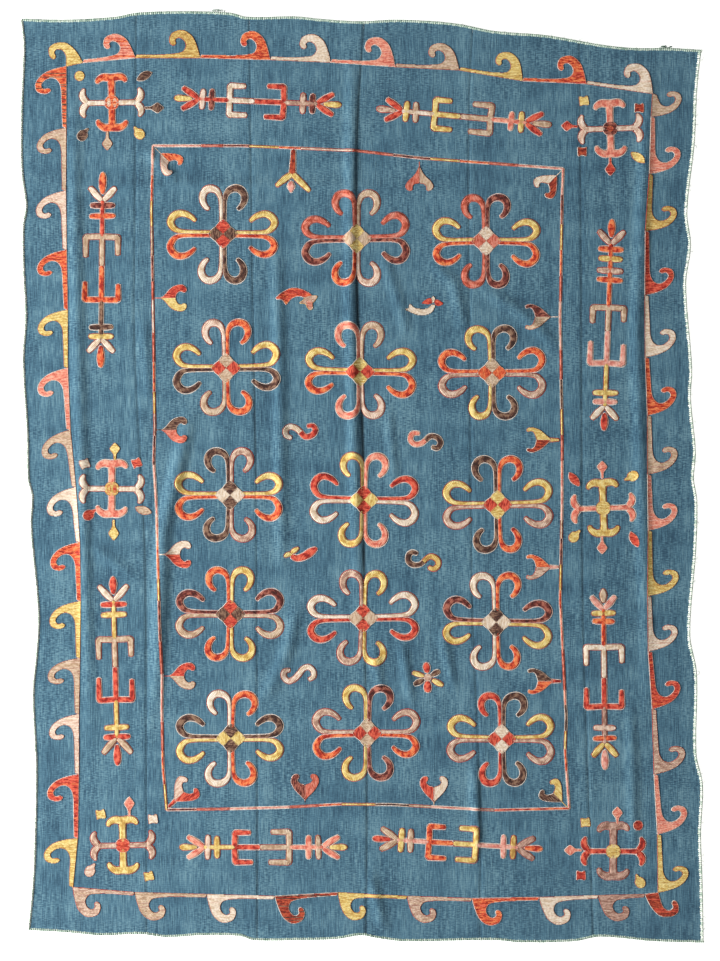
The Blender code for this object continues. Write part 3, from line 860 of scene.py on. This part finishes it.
# The figures at the sides have a flatter chevron
standing = {"chevronBack": 35.0, "chevronHalf": 35.0, "leafWide": 19.0, "combHalf": 43.0}
ownMarks = {
    0: {"combHalf": 39.0, "barHalf": 27.0, "prong2": 0.553},
    1: {"combHalf": 40.0, "barHalf": 27.0},
    2: {**standing, "prong2": 0.572, "barC": 0.792, "barD": 0.839, "barHalf": 33.0},
    3: {**standing, "chevronPoint": 0.13, "barA": 0.15, "barB": 0.204, "barC": 0.797, "barD": 0.847,
        "barHalf": 35.0, "chevronHalf": 39.0, "chevronBack": 41.0},
    4: {**standing, "chevronPoint": 0.118, "barA": 0.144, "barB": 0.189, "spine": 0.42, "prong": 0.483,
        "change": 0.53, "prong2": 0.59, "spine2": 0.682, "barC": 0.82, "barD": 0.862, "chevron2": 0.884,
        "barHalf": 33.0},
    5: {**standing, "chevronPoint": 0.115, "barA": 0.137, "barB": 0.182, "spine": 0.324, "prong": 0.412,
        "change": 0.493, "prong2": 0.56, "combHalf": 46.0, "chevronHalf": 33.0},
    6: {"combHalf": 41.0},
    7: {"combHalf": 41.0, "change": 0.475, "prong2": 0.505, "spine2": 0.605},
}
extraBars = {4: ((0.245, "pinkTaupe"), (0.288, "orangeRed"))}
barShape = ((1, 1, 0.66), (0.5, 0.6, 1), (-0.5, -0.6, 1), (-1, -1, 0.66))  # of lean, half length, width
combPlay = {  # how much one differs from the next, as shares, and how far in mm it leans
    "comb": (0.95, 1.05),
    "combLean": 2,
    "barLong": (0.94, 1.05),
    "barLean": 1.5,
    "barWide": (0.92, 1.05),
}


def sewCombs(number, f):
    piece = f"comb_figure_{number + 1}"
    k = {**combMarks, **ownMarks.get(number, {})}
    start, end = np.array([f.x0, f.y0]) * cm, np.array([f.x1, f.y1]) * cm
    length = float(np.hypot(*(end - start))) / mm
    angle = math.atan2(*(end - start)[::-1])
    at = {key: value * length for key, value in k.items() if value < 1}

    def lay(yarn, rows):
        outlined(piece, yarn, turned(rows, start, angle))

    for yarn, begin, stop, more in ((f.stem, "chevronPoint", "spine", 0), (f.comb, "spine", "change", 2),
                                    (f.comb2, "change", "spine2", 2), (f.stem2, "spine2", "chevron2", 0)):
        lay(yarn, ((at[begin], 0, k["stemWide"] + more), (at[stop], 0, k["stemWide"] + more)))
    for yarn, spine, prong in ((f.comb, at["spine"], at["prong"]), (f.comb2, at["spine2"], at["prong2"])):
        w, h = k["combWide"], k["combHalf"] * dice.uniform(*combPlay["comb"])
        way = 1 if prong > spine else -1
        lean = dice.uniform(-combPlay["combLean"], combPlay["combLean"])
        thin, out, h2 = w - k["prongThin"], spine + way * k["cornerOut"], h - k["cornerIn"]
        lay(yarn, ((prong, h + lean, thin), (out, h + lean, w), (spine + way, h - 1 + lean, w + 1),
                   (spine, h2, w), (spine + lean, 0, w), (spine, -h2, w), (spine + way, 1 - h, w + 1),
                   (out, -h, w), (prong + k["prongEnd"] * way, -h, thin)))
    bars = [(at[name], getattr(f, name)) for name in ("barA", "barB", "barC", "barD")]
    bars += [(share * length, yarn) for share, yarn in extraBars.get(number, ())]
    for place, yarn in bars:
        h = k["barHalf"] * dice.uniform(*combPlay["barLong"])
        lean = dice.uniform(-combPlay["barLean"], combPlay["barLean"])
        w = k["barWide"] * dice.uniform(*combPlay["barWide"])
        lay(yarn, [(place + lean * s, -h * t, w * v) for s, t, v in barShape])
    ends = ((f.leaf, f.chevron, at["chevronPoint"], -1, 0), (f.leaf2, f.chevron2, at["chevron2"], 1, length))
    for leafYarn, chevronYarn, point, way, far in ends:
        near = point + way * k["leafGap"]
        lay(leafYarn, ((near, 0, 9), ((far + near) / 2, 0, k["leafWide"]), (far - way * k["leafTip"], 0, 15),
                       (far - way * 2, 0, 7)))
        b, h, w = k["chevronBack"] * way, k["chevronHalf"], k["chevronWide"]
        for side in (-1, 1):
            lay(chevronYarn, ((point, side * 2, 11), (point + b * 0.5, side * h * 0.55, w),
                              (point + b, side * h, w - 5)))


for number, f in enumerate(combs):
    sewCombs(number, f)
print("scene: comb figures sewn")


# Six crosses with a drooping head, an anchor foot, brackets at the sides and four spots
Cross = namedtuple("Cross", "x y upright level middle middle2")  # cm, yarns
crosses = (
    Cross(-67.5, 101.0, "orangeRed", "cream", "orangeRed", "cream"),
    Cross(67.0, 94.0, "salmon", "creamPink", "maroon", "orangeRed"),
    Cross(-67.5, -3.2, "salmon", "cream", "ochre", "red"),
    Cross(65.1, -8.4, "yellow", "salmon", "yellow", "ochre"),
    Cross(-64.5, -99.4, "yellow", "pinkTaupe", "red", "orangeRed"),
    Cross(67.8, -101.0, "mauve", "red", "yellow", "ochre"),
)
headRows = ((-40, 53, 8), (-35, 62, 14), (-22, 69, 18), (0, 67, 20), (22, 70, 18), (33, 66, 15), (40, 57, 8))
footRows = ((-39, -46, 8), (-35, -57, 14), (-20, -67, 18), (0, -66, 20), (20, -67, 18), (34, -59, 14),
            (39, -49, 8))
upRows = ((0, 10, 17), (0, 40, 16), (0, 64, 20))
downRows = ((0, -10, 17), (0, -40, 16), (0, -64, 20))
armRows = ((14, 0, 12), (50, 0, 12), (68, 0, 15))
bracketRows = ((66, 2, 14), (76, 12, 17), (79, 25, 15), (74, 38, 6))
hubRows = tuple((20 * math.cos(a * math.pi / 4), 19 * math.sin(a * math.pi / 4)) for a in range(8))
crossTilt = 2  # degrees, at most


def sewCross(number, c):
    piece = f"cross_motif_{number + 1}"
    middle = np.array([c.x, c.y]) * cm
    tilt = math.radians(dice.uniform(-crossTilt, crossTilt))
    parts = [(c.upright, [turned(rows, middle, tilt) for rows in (upRows, downRows, headRows, footRows)])]
    for way in (0, math.pi):
        sides = [turned(bracketRows, middle, tilt + way, flip) for flip in (1, -1)]
        parts.append((c.level, [turned(armRows, middle, tilt + way), *sides]))
    for yarn, shapes in parts:  # a part's contrast lines first, then the fills that cover their crossings
        for rows in shapes:
            cord(piece, rimYarn[yarn], rimOf(rows), closed=True)
        for rows in shapes:
            stroke(piece, yarn, rows)
    patch(piece, c.middle, turned(hubRows, middle, 0))
    twin = c.middle2 in ("cream", "red")  # two small lobes beside each other, or one flat one
    for broad, high, aside in ((0.26, 0.66, 8), (0.26, 0.66, -8)) if twin else ((0.42, 0.4092, 0),):
        inner = [(a * broad + aside, b * high) for a, b in hubRows]
        patch(piece, c.middle2, turned(inner, middle, 0), rim=c.middle2)


for number, c in enumerate(crosses):
    sewCross(number, c)
print("scene: crosses sewn")


# Buds that grow from the crosses. Columns: base x, y and tip x, y in cm, yarn
buds = (
    (-58.6, 99.6, -53.5, 99.6, "brown"), (-68.7, 93.2, -68.7, 88.2, "taupe"), (58.1, 94.5, 53.8, 94.8, "red"),
    (67.0, 86.2, 67.0, 81.3, "red"), (-66.7, 4.6, -66.7, 9.2, "yellow"),
    (-67.0, -11.6, -67.0, -17.1, "yellow"),
    (64.8, -0.3, 64.8, 4.3, "salmon"), (64.8, -15.9, 64.8, -20.8, "salmon"),
    (-62.8, -91.6, -62.8, -86.3, "salmon"),
    (68.9, -93.7, 68.9, -89.0, "salmon"), (59.2, -100.7, 54.6, -100.7, "salmon"),
)
budRows = ((0, 2.5), (16, 3.5), (25, 9), (33, 13.5), (43, 7), (50, 0.5))  # mm, one side of a bud 5 cm long
for x0, y0, x1, y1, yarn in buds:
    angle = math.atan2(y1 - y0, x1 - x0)
    size = math.hypot(x1 - x0, y1 - y0) / 5
    shape = [(a * size, b) for a, b in budRows] + [(a * size, -b) for a, b in reversed(budRows)]
    patch("cross_buds", yarn, turned(shape, (x0 * cm, y0 * cm), angle), angle + math.pi / 2)

# Spots in the corners round each cross. Columns: x, y in cm, yarn, shape, turned by degrees
roundSpot = tuple((13 * math.cos(a * math.pi / 5), 13 * math.sin(a * math.pi / 5)) for a in range(10))
squareSpot = ((-12, -12), (-2, -10), (11, -12), (12, -1), (10, 12), (1, 9), (-11, 12), (-12, 2))
dropSpot = ((24, 1), (14, 6), (8, 12), (-5, 13), (-14, 6), (-14, -5), (-5, -12), (8, -11), (14, -5), (24, -3))
leafSpot = ((22, 0), (12, 9), (-4, 11), (-18, 5), (-24, -1), (-14, -8), (0, -10), (13, -6))
spots = (
    (-76.2, 108.2, "yellow", roundSpot, 0), (-58.6, 108.2, "brown", leafSpot, 25),
    (-75.4, 92.1, "brown", dropSpot, 55), (-60.0, 92.6, "yellow", dropSpot, 130),
    (59.9, 101.5, "yellow", squareSpot, 8), (74.8, 99.6, "darkRed", squareSpot, 0),
    (59.4, 87.8, "darkRed", squareSpot, 180), (74.5, 86.1, "yellow", leafSpot, -40),
    (-74.8, 3.5, "cream", squareSpot, 200), (-60.8, 3.8, "red", squareSpot, 20),
    (-73.7, -10.3, "red", dropSpot, 40), (-59.1, -8.9, "taupe", leafSpot, 160),
    (57.2, -0.5, "red", leafSpot, 125), (73.0, 0.3, "yellow", dropSpot, 210),
    (57.2, -16.2, "yellow", dropSpot, 50), (73.4, -16.7, "red", leafSpot, 115),
    (-70.5, -91.0, "yellow", squareSpot, 10), (-56.4, -92.3, "cream", squareSpot, 5),
    (-73.4, -106.4, "creamPink", dropSpot, 60), (-57.5, -107.7, "yellow", squareSpot, 12),
    (60.3, -93.2, "yellow", squareSpot, 5), (74.5, -94.0, "red", roundSpot, 0),
    (59.1, -107.5, "red", squareSpot, 0), (75.1, -109.4, "yellow", dropSpot, 120),
)
for x, y, yarn, shape, degrees in spots:
    patch("cross_spots", yarn, turned(shape, (x * cm, y * cm), math.radians(degrees)))
print("scene: buds and spots sewn")


# Sprigs that stand on the inner frame: a stem and a crescent of two horns. Columns: x, y of the foot in cm,
# degrees it points to, size, yarns of the left and right horn, yarn of the stem
hornShapes = {  # one of a sprig's two horns, by the way it points
    0: ((19, 0), (29, 7), (46, 26), (62, 34), (78, 35), (87, 28), (88, 18), (81, 15), (72, 19), (63, 13),
        (59, 4), (59, 0)),
    90: ((8, 0), (16, 7), (32, 23), (45, 32), (57, 37), (70, 35), (77, 28), (77, 18), (70, 16), (62, 21),
         (53, 14), (47, 0)),
    180: ((26, 0), (39, 11), (54, 24), (68, 31), (82, 34), (94, 30), (92, 23), (82, 25), (74, 20), (69, 9),
          (66, 0)),
    270: ((16, 0), (22, 3), (34, 9), (46, 19), (56, 30), (70, 37), (80, 31), (80, 20), (70, 19), (63, 13),
          (59, 0)),
}
cornerHorn = ((26, 0), (30, 5), (52, 25), (66, 33), (77, 33), (84, 24), (85, 16), (79, 12), (73, 18),
              (65, 15), (59, 6), (56, 0))
sprigStem = ((6, 0, 6), (22, 0, 8), (38, 0, 10))
stemReach = {0: 0.55, 90: 0.3, 180: 0.9, 270: 0.5}  # how much of the stem shows below the horns
cornerReach = 0.9
thinStem = 4.0 * mm  # across, where it is one cord
sprigs = (
    (-56.2, 48.3, 0, 1.0, "red", "yellow", "rose"), (-55.9, 12.7, 0, 0.98, "brown", "rose", "brown"),
    (-55.2, -20.9, 0, 1.02, "cream", "red", "cream"), (-53.9, -53.7, 0, 1.0, "red", "taupe", "red"),
    (53.5, 43.2, 180, 1.0, "taupe", "maroon", "rimCream"),
    (53.7, 10.0, 180, 0.98, "darkRed", "yellow", "ochre"),
    (53.6, -24.3, 180, 0.98, "pinkTaupe", "orangeRed", "pink"),
    (54.2, -55.1, 180, 1.0, "orangeRed", "brown", "red"),
    (15.5, 85.4, 270, 1.0, "taupe", "rose", "rose"), (-15.4, -88.0, 90, 1.0, "maroon", "rose", "maroon"),
    (19.4, -88.6, 90, 1.0, "red", "cream", "cream"),
    (-56.1, 89.1, 315, 1.0, "orangeRed", "creamPink", "cream"),
    (54.4, 83.2, 225, 1.03, "darkRed", "cream", "cream"), (-52.6, -89.5, 45, 1.12, "creamPink", "red", "red"),
    (55.8, -89.5, 135, 1.03, "brown", "yellow", "yellow"),
)
for x, y, degrees, size, leftYarn, rightYarn, stemYarn in sprigs:
    foot, angle = (x * cm, y * cm), math.radians(degrees)
    reach = size * stemReach.get(degrees, cornerReach)
    stem = [(a * reach, b, w) for a, b, w in sprigStem]
    if degrees in (45, 180) and stemYarn in rimYarn:
        outlined("frame_sprigs", stemYarn, turned(stem, foot, angle))
    else:
        cord("frame_sprigs", stemYarn, turned(stem, foot, angle), wide=thinStem)
    shape = [(a * size, b * size) for a, b in hornShapes.get(degrees, cornerHorn)]
    for yarn, flip in ((leftYarn, 1), (rightYarn, -1)):
        patch("frame_sprigs", yarn, turned(shape, foot, angle, flip), angle)
# The sprig with two leaves and a bud, left of the middle at the top
leafFoot = (-18.5 * cm, 88.6 * cm)
for yarn, rows in (
    ("darkRed", ((2, 0, 11), (30, -1, 13), (70, -3, 18))),
    ("yellow", ((68, -4, 15), (84, -26, 16), (101, -46, 8))),
    ("yellow", ((68, -2, 15), (92, 22, 15), (115, 44, 9))),
    ("pink", ((88, -6, 8), (102, -6, 19), (118, -6, 5))),
):
    outlined("frame_sprigs", yarn, turned(rows, leafFoot, math.radians(270)))
print("scene: sprigs sewn")

# Small figures between the medallions, in mm from a middle in cm
fishBody = ((-51, -3), (-38, 9), (-19, 20), (-3, 24), (16, 21), (32, 14), (45, 4), (24, -1), (15, 2), (3, 1),
            (-10, -5), (-18, -14), (-24, -21), (-32, -10), (-39, -6), (-48, -7))
fishTail = ((25, -1), (45, 3), (60, 2), (53, -11), (47, -18), (48, -31), (41, -35), (34, -29), (28, -19),
            (13, -16), (25, -7))
fishFin = ((30, -12), (45, -10), (47, -24), (40, -33), (33, -25))
fishMiddle = (-18.1 * cm, 48.6 * cm)
patch("red_fish", "red", turned(fishBody, fishMiddle, 0), second="orangeRed")
patch("red_fish", "pinkTaupe", turned(fishTail, fishMiddle, 0), rim="ochre")
patch("red_fish", "red", turned(fishFin, fishMiddle, 0), rim="red")

duckBody = ((-27, 11), (-18, 2), (-8, -2), (13, -3), (24, 1), (31, 9), (40, 7), (38, 0), (34, -8), (27, -14),
            (12, -19), (-8, -18), (-22, -13), (-32, -8), (-40, -5), (-38, -2), (-31, -1), (-30, 7))
duckParts = (
    ("cream", "rimDark", duckBody),
    ("red", "rimRed", ((5, 13), (13, 20), (24, 26), (31, 23), (32, 15), (24, 11))),
    ("red", "rimRed", ((38, 19), (46, 22), (55, 17), (62, 12), (54, 7), (43, 8))),
    ("cream", "rimDark", ((35, 32), (40, 26), (38, 17), (34, 13), (31, 18), (30, 26))),
)
for yarn, rim, shape in duckParts:
    patch("white_duck", yarn, turned(shape, (15.7 * cm, 45.6 * cm), 0), rim=rim)

# Curls shaped like a lying S, each of two yarns. Columns: middle x, y in cm, then each yarn and its rows
curls = (
    (-16.6, 12.1, "cream", ((-24, -16, 9), (-38, -9, 12), (-39, 7, 13), (-27, 15, 13), (-11, 10, 13),
                            (0, 0, 13)),
     "red", ((0, 0, 13), (13, -12, 14), (30, -9, 14), (40, 4, 14), (34, 17, 12), (18, 16, 9))),
    (17.1, 9.9, "salmon", ((-15, 19, 9), (-34, 18, 13), (-40, 2, 13), (-29, -10, 13), (-10, -8, 13),
                           (0, 0, 12)),
     "brown", ((0, 0, 12), (14, 11, 13), (33, 7, 13), (41, -7, 13), (32, -21, 12), (17, -18, 9))),
    (16.6, -22.9, "brown", ((-16, 22, 9), (-30, 26, 12), (-40, 18, 13), (-40, 1, 13), (-28, -8, 13),
                            (-10, -7, 11), (0, 0, 11)),
     "ochre", ((0, 0, 11), (6, 7, 11), (21, 15, 13), (38, 5, 14), (39, -10, 13), (28, -19, 12),
               (13, -15, 9))),
    (-17.0, -53.2, "creamPink", ((-24, 12, 8), (-39, 7, 13), (-40, -9, 13), (-28, -19, 13), (-11, -12, 14),
                                 (1, 1, 14)),
     "cream", ((1, 1, 14), (13, 16, 13), (27, 19, 13), (39, 8, 13), (39, -7, 12), (26, -15, 8))),
)
for x, y, yarn, rows, yarn2, rows2 in curls:
    middle = (x * cm, y * cm)
    outlined("s_curls", yarn, turned(rows, middle, 0), (True, False))
    outlined("s_curls", yarn2, turned(rows2, middle, 0), (False, True))

smallFish = (
    ("red", ((-24, -8, 11), (-8, -14, 16), (11, -9, 19), (30, 3, 20), (45, 13, 9))),
    ("yellow", ((-42, -10, 6), (-33, -4, 12), (-22, -4, 9))),
    ("yellow", ((-24, 0, 9), (-13, 8, 12), (-4, 14, 6))),
)
for yarn, rows in smallFish:
    outlined("small_fish", yarn, turned(rows, (-16.7 * cm, -20.5 * cm), 0))

petals = (
    ("red", 97, 17, 40, 18), ("red", 269, 14, 40, 20), ("yellow", 162, 15, 44, 13),
    ("yellow", 332, 17, 46, 14), ("brown", 30, 15, 36, 14), ("brown", 207, 16, 42, 14),
)
starMiddle = (17.8 * cm, -54.1 * cm)
for yarn, degrees, near, far, wide in petals:
    rows = ((near - 4, 0, wide * 0.6), ((near + far) / 2, 0, wide), (far, 0, wide * 0.6))
    outlined("star_flower", yarn, turned(rows, starMiddle, math.radians(degrees)))
starHeart = [(a * 0.75, b * 0.75) for a, b in roundSpot]
patch("star_flower", "pinkTaupe", turned(starHeart, starMiddle, 0), rim="rimPink")
print("scene: small figures sewn")


# The seams' own thread: short slanted stitches over two selvedges that lie side by side
seamSewing = {
    "pitch": 9.0 * mm,
    "play": 1.0 * mm,  # of a stitch along the seam
    "reach": 2.0 * mm,  # over each selvedge
    "reachPlay": (0.7, 1.1),
    "slant": (0.5, 2.6),  # mm
    "high": 0.25 * mm,
    "wide": 0.9 * mm,
    "endGap": 8.0 * mm,  # from the rug's outer line
    "drawnHigh": 0.12 * mm,  # the thread that lies along the seam
    "drawnWide": 1.5 * mm,
    "drawnStep": 20 * mm,
}
yarns["seamThread"] = makeYarn("dark blue for the seams", "#4F7387 #658A9C #3D5F74")
# the middle seam's thread is real, but it is dyed darkest so that it also paints the shade in that seam's gap
yarns["middleThread"] = makeYarn("darkest blue for the middle seam", "#2F4F63 #41677D #203848")
for number, seamAt in enumerate(seamsAt):
    v = seamSewing
    piece = f"seam_{number + 1}_stitches"
    thread = "middleThread" if number == 2 else "seamThread"
    low = float(bottomAt(seamAt(-rug["halfLong"]))) + v["endGap"]
    high = float(topAt(seamAt(rug["halfLong"]))) - v["endGap"]
    for y in np.arange(low, high, v["pitch"]):
        y = y + dice.uniform(-1, 1) * v["play"]
        x = float(seamAt(y))
        reach, slant = v["reach"] * dice.uniform(*v["reachPlay"]), dice.uniform(*v["slant"]) * mm
        rows = ((x - reach, y - slant), (x, y), (x + reach, y + slant))
        cord(piece, thread, rows, high=v["high"], wide=v["wide"])
    y = np.arange(low, high, v["drawnStep"])
    cord(piece, thread, np.stack([seamAt(y), y], 1), high=v["drawnHigh"], wide=v["drawnWide"])
print("scene: seams sewn")


# The overcast edge: pale yarn wound over a dark green filler cord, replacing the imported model's tubes
edging = {
    "long": {"left": 2.42, "right": 2.42, "top": 1.83, "bottom": 1.83},  # m
    "pitch": 5.4 * mm,  # from one turn to the next, a little coarse, as the photograph shows it
    "wide": 4.6 * mm,  # a turn's thickness along the edge
    "widePlay": (0.82, 1.12),
    "slant": 2.2 * mm,
    "slantPlay": 0.6 * mm,
    "bite": {"left": 2.2 * mm, "right": 3.8 * mm, "top": 2.4 * mm, "bottom": 2.0 * mm},  # into the cloth
    "bitePlay": (0.6, 1.3),
    "biteShares": (1, 0.6),  # where its two first points lie, as shares of the bite
    "turnSides": (-0.5, -0.28, 0.28, 0.5),  # a turn's four lines, as shares of its thickness
    "over": ((0.4, 4.3), (1.9, 5.1), (3.6, 4.9), (5.0, 3.4), (5.0, 1.5), (3.8, 0.3)),  # mm outward and high
    "biteHigh": (2.3, 3.0),  # mm, of its two first points, which lie on the cloth
    "outerFrom": 4.5 * mm,  # from where a turn's round side faces outward
    "puff": 0.9 * mm,  # by which a turn's two sides lie lower than its middle
    "turnYarn": 16 * mm,  # yarn that shows in one turn
    "floorGap": 0.1 * mm,
    "cornerGap": 1.0 * mm,
    "cordStep": 9.0 * mm,
    "cordShare": 0.8,  # the filler cord's radius, as a share of the edge's
}
yarns["edgePale"] = makeYarn("pale mint, overcast", "#DBE2D2 #F0F3E8 #A3B8A6")
yarns["edgeMint"] = makeYarn("grey mint, overcast", "#AFC4B2 #CDDACA #809B8A")
yarns["edgeGreen"] = makeYarn("dark green filler cord", "#587766 #6E8D7A #3B5449")
edges = {}


def edgeLine(name, count):  # points on the cloth's boundary and the way outward, along one side of the rug
    share = np.linspace(0, 1, count)
    if name in ("left", "right"):
        number = 0 if name == "left" else len(seamsAt)
        x, y = placeInStrip(float(name == "right"), share, stripSides(number))
    else:
        at, up = (topAt, 1) if name == "top" else (bottomAt, -1)
        corner = up * rug["halfLong"]
        low, high = float(leftAt(corner)) + edging["cornerGap"], float(rightAt(corner)) - edging["cornerGap"]
        x = low + share * (high - low)
        y = at(x) - up * clothInset
    way = np.gradient(np.stack([x, y], 1), axis=0)
    way /= np.hypot(way[:, 0], way[:, 1])[:, None]
    outward = np.stack([-way[:, 1], way[:, 0]], 1) * (-1 if name in ("right", "bottom") else 1)
    return np.stack([x, y], 1), way, outward


def makeEdge(name):
    v = edging
    parts = edges.setdefault(f"overcast_{name}", [])
    radius = rug["edgeWide"] / 2
    line, way, outward = edgeLine(name, int(v["long"][name] / v["cordStep"]) + 1)
    middle = line + outward * (radius + rug["pieceGap"])
    angles = np.linspace(0, 2 * math.pi, 9)
    if name in ("left", "top"):  # so that the faces point outward
        angles = angles[::-1]
    out, up = np.cos(angles) * radius * v["cordShare"], np.sin(angles) * radius * v["cordShare"]
    x, y = (middle[:, c:c + 1] + outward[:, c:c + 1] * out for c in (0, 1))
    z = clothLift(middle[:, 0], middle[:, 1])[:, None] + radius + up
    u = np.arange(len(line))[:, None] * v["cordStep"] + 0 * x
    parts.append(("edgeGreen", x, y, z, u, 0 * x + angles * radius))

    turns = "edgeMint" if name in ("top", "bottom") else "edgePale"
    bite = v["bite"][name]
    over = np.array(v["over"]) * mm
    across = np.concatenate([-bite * np.array(v["biteShares"]), over[:, 0]])
    high = np.concatenate([np.array(v["biteHigh"]) * mm, over[:, 1]])
    along = np.linspace(-0.5, 0.5, len(across)) * v["slant"]
    side = np.array(v["turnSides"])
    puff = np.array([-1, 0, 0, -1]) * v["puff"]
    outer = (across > v["outerFrom"])[:, None]
    for p, t, n in zip(*edgeLine(name, int(v["long"][name] / v["pitch"]))):
        wide = v["wide"] * dice.uniform(*v["widePlay"])
        reach = np.where(np.arange(len(across)) < len(v["biteShares"]), dice.uniform(*v["bitePlay"]), 1.0)
        shift = along + dice.uniform(-1, 1) * v["slantPlay"]
        a = (across * reach)[:, None] + puff * outer
        s = shift[:, None] + side * wide
        x, y = (p[c] + n[c] * a + t[c] * s for c in (0, 1))
        z = high[:, None] + puff * ~outer + float(clothLift(p[0], p[1]))
        start = dice.uniform(0, stitch["yarnShift"])
        u = np.linspace(0, v["turnYarn"], len(across))[:, None] + start + 0 * x
        if name in ("left", "top"):
            x, y, z, u = (grid[:, ::-1] for grid in (x, y, z, u))
        parts.append((turns, x, y, np.maximum(z, v["floorGap"]), u, start + s))


for name in ("left", "right", "top", "bottom"):
    makeEdge(name)

# Loose ends of the overcast yarn, mostly pale, a few in dark green tufts at the top and the right corner
loose = {
    "counts": (("left", 34), ("right", 30), ("top", 30), ("bottom", 34)),
    "long": (5, 13),  # mm
    "wide": 0.9 * mm,
    "paleShare": 0.8,
    # x, y in cm, mm wide
    "tufts": ((-39.6, 125.9, 1.6), (-38.0, 125.7, 1.4), (81.4, 116.1, 1.6), (82.8, 115.9, 1.6)),
    "tuftEnds": 5,
    "tuftReach": 9,  # mm
    "tuftHigh": 1.4 * mm,
    "tuftShape": (1.3, 0.4),  # a tuft is wider than it is high
    "places": 400,  # along a side
    "cornerPlaces": 4,  # of them, left free at each corner
    "from": 3 * mm,  # outside the cloth, where an end leaves the edge
    "out": (0.5, 0.8),  # how far its middle and its tip go outward, as shares of its length
    "bulge": 1 * mm,  # more, at its middle
    "aside": 0.3,  # its middle's way along the edge, as a share of its tip's
}
for name, count in loose["counts"]:
    line, way, outward = edgeLine(name, loose["places"])
    for n in dice.integers(loose["cornerPlaces"], loose["places"] - loose["cornerPlaces"], count):
        long = dice.uniform(*loose["long"]) * mm
        start, t, o = line[n] + outward[n] * loose["from"], way[n] * dice.uniform(-1, 1), outward[n]
        rows = (start, start + o * (loose["bulge"] + long * loose["out"][0]) + t * long * loose["aside"],
                start + o * long * loose["out"][1] + t * long)
        yarn = "edgePale" if dice.random() < loose["paleShare"] else "edgeGreen"
        cord("loose_ends", yarn, rows, wide=loose["wide"], high=loose["wide"])
for x, y, wide in loose["tufts"]:
    for tuftEnd in range(loose["tuftEnds"]):
        spread = dice.uniform(-loose["tuftReach"], loose["tuftReach"], (3, 2)) * mm
        rows = np.array([x, y]) * cm + spread * np.array(loose["tuftShape"])
        cord("loose_ends", "edgeGreen", rows, wide=wide * mm, high=loose["tuftHigh"])
print("scene: edges wound")


def finishSewing():
    for name, parts in edges.items():
        for yarn, *grid in parts:
            addGrid(name, yarn, *grid)
    for name, store in gathered.items():
        points = np.concatenate(store["points"])
        if name not in edges:  # an edge's heights are counted from the floor
            points[:, 2] += clothTop(points[:, 0], points[:, 1])
        quads = np.concatenate(store["quads"])
        uvs = np.concatenate(store["uvs"])[quads.ravel()]
        used = sorted({yarn for yarn, count in store["yarns"]})
        slots = np.concatenate([np.full(count, used.index(yarn)) for yarn, count in store["yarns"]])
        mesh = bpy.data.meshes.new(name)
        mesh.from_pydata(points.tolist(), [], quads.tolist())
        for yarn in used:
            mesh.materials.append(yarns[yarn])
        mesh.polygons.foreach_set("material_index", slots.astype(np.int32))
        layer = mesh.uv_layers.new(name="stitches")
        layer.data.foreach_set("uv", uvs.astype(np.float32).ravel())
        mesh.shade_smooth()
        piece = putInScene(name, mesh)
        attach(piece, "root")
        if name in edges:
            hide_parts(name.replace("overcast", "edge"))
        print(f"scene: {name} {2 * len(quads)} triangles")


finishSewing()


stage = {
    "floor": "#F4F4F2",
    "floorGlow": 0.85,  # keeps the ground white round the rug, as on a lit table
    "floorSize": 60.0,
    "lens": 85.0,  # mm
    "viewWide": 1.944,  # of the view's frame at the rug, at 2.7 mm for each pixel of 720
    "middle": (-0.0054, -0.0095),  # of the view
    "sky": 0.27,
    "lampPower": 1510.0,  # W
    "lampWide": 2.4,  # m, a large soft box
    "lampFrom": (-7.5, -1.1, 2.65),
    "sensorWide": 36.0,  # mm
    "farthest": 50.0,  # what the camera sees, in m
}


def makeStage():
    bpy.ops.mesh.primitive_plane_add(size=stage["floorSize"], location=(0, 0, 0))
    floor = bpy.context.object
    floor.name = "floor"
    material, tree, shader = newMaterial("pale matt floor")
    shader.inputs["Base Color"].default_value = linear(stage["floor"])
    shader.inputs["Roughness"].default_value = 0.9
    shader.inputs["Emission Color"].default_value = linear(stage["floor"])
    shader.inputs["Emission Strength"].default_value = stage["floorGlow"]
    floor.data.materials.append(material)

    world = bpy.data.worlds.new("soft sky")
    world.use_nodes = True
    sky = world.node_tree.nodes["Background"]
    sky.inputs["Color"].default_value = (1, 1, 1, 1)
    sky.inputs["Strength"].default_value = stage["sky"]
    bpy.context.scene.world = world

    lampData = bpy.data.lights.new("wide soft lamp", "AREA")
    lampData.energy = stage["lampPower"]
    lampData.shape, lampData.size = "DISK", stage["lampWide"]
    lamp = putInScene("wide soft lamp", lampData)
    lamp.location = stage["lampFrom"]
    lamp.visible_camera = False
    lamp.rotation_euler = (-Vector(stage["lampFrom"])).to_track_quat("-Z", "Y").to_euler()

    camera = bpy.data.cameras.new("camera above")
    camera.lens = stage["lens"]
    camera.sensor_fit = "HORIZONTAL"
    camera.sensor_width = stage["sensorWide"]
    camera.clip_end = stage["farthest"]
    eye = putInScene("camera above", camera)
    eye.location = (*stage["middle"], stage["viewWide"] * stage["lens"] / stage["sensorWide"])
    bpy.context.scene.camera = eye
    bpy.context.scene.view_settings.view_transform = "Standard"


makeStage()
print("scene: stage made")
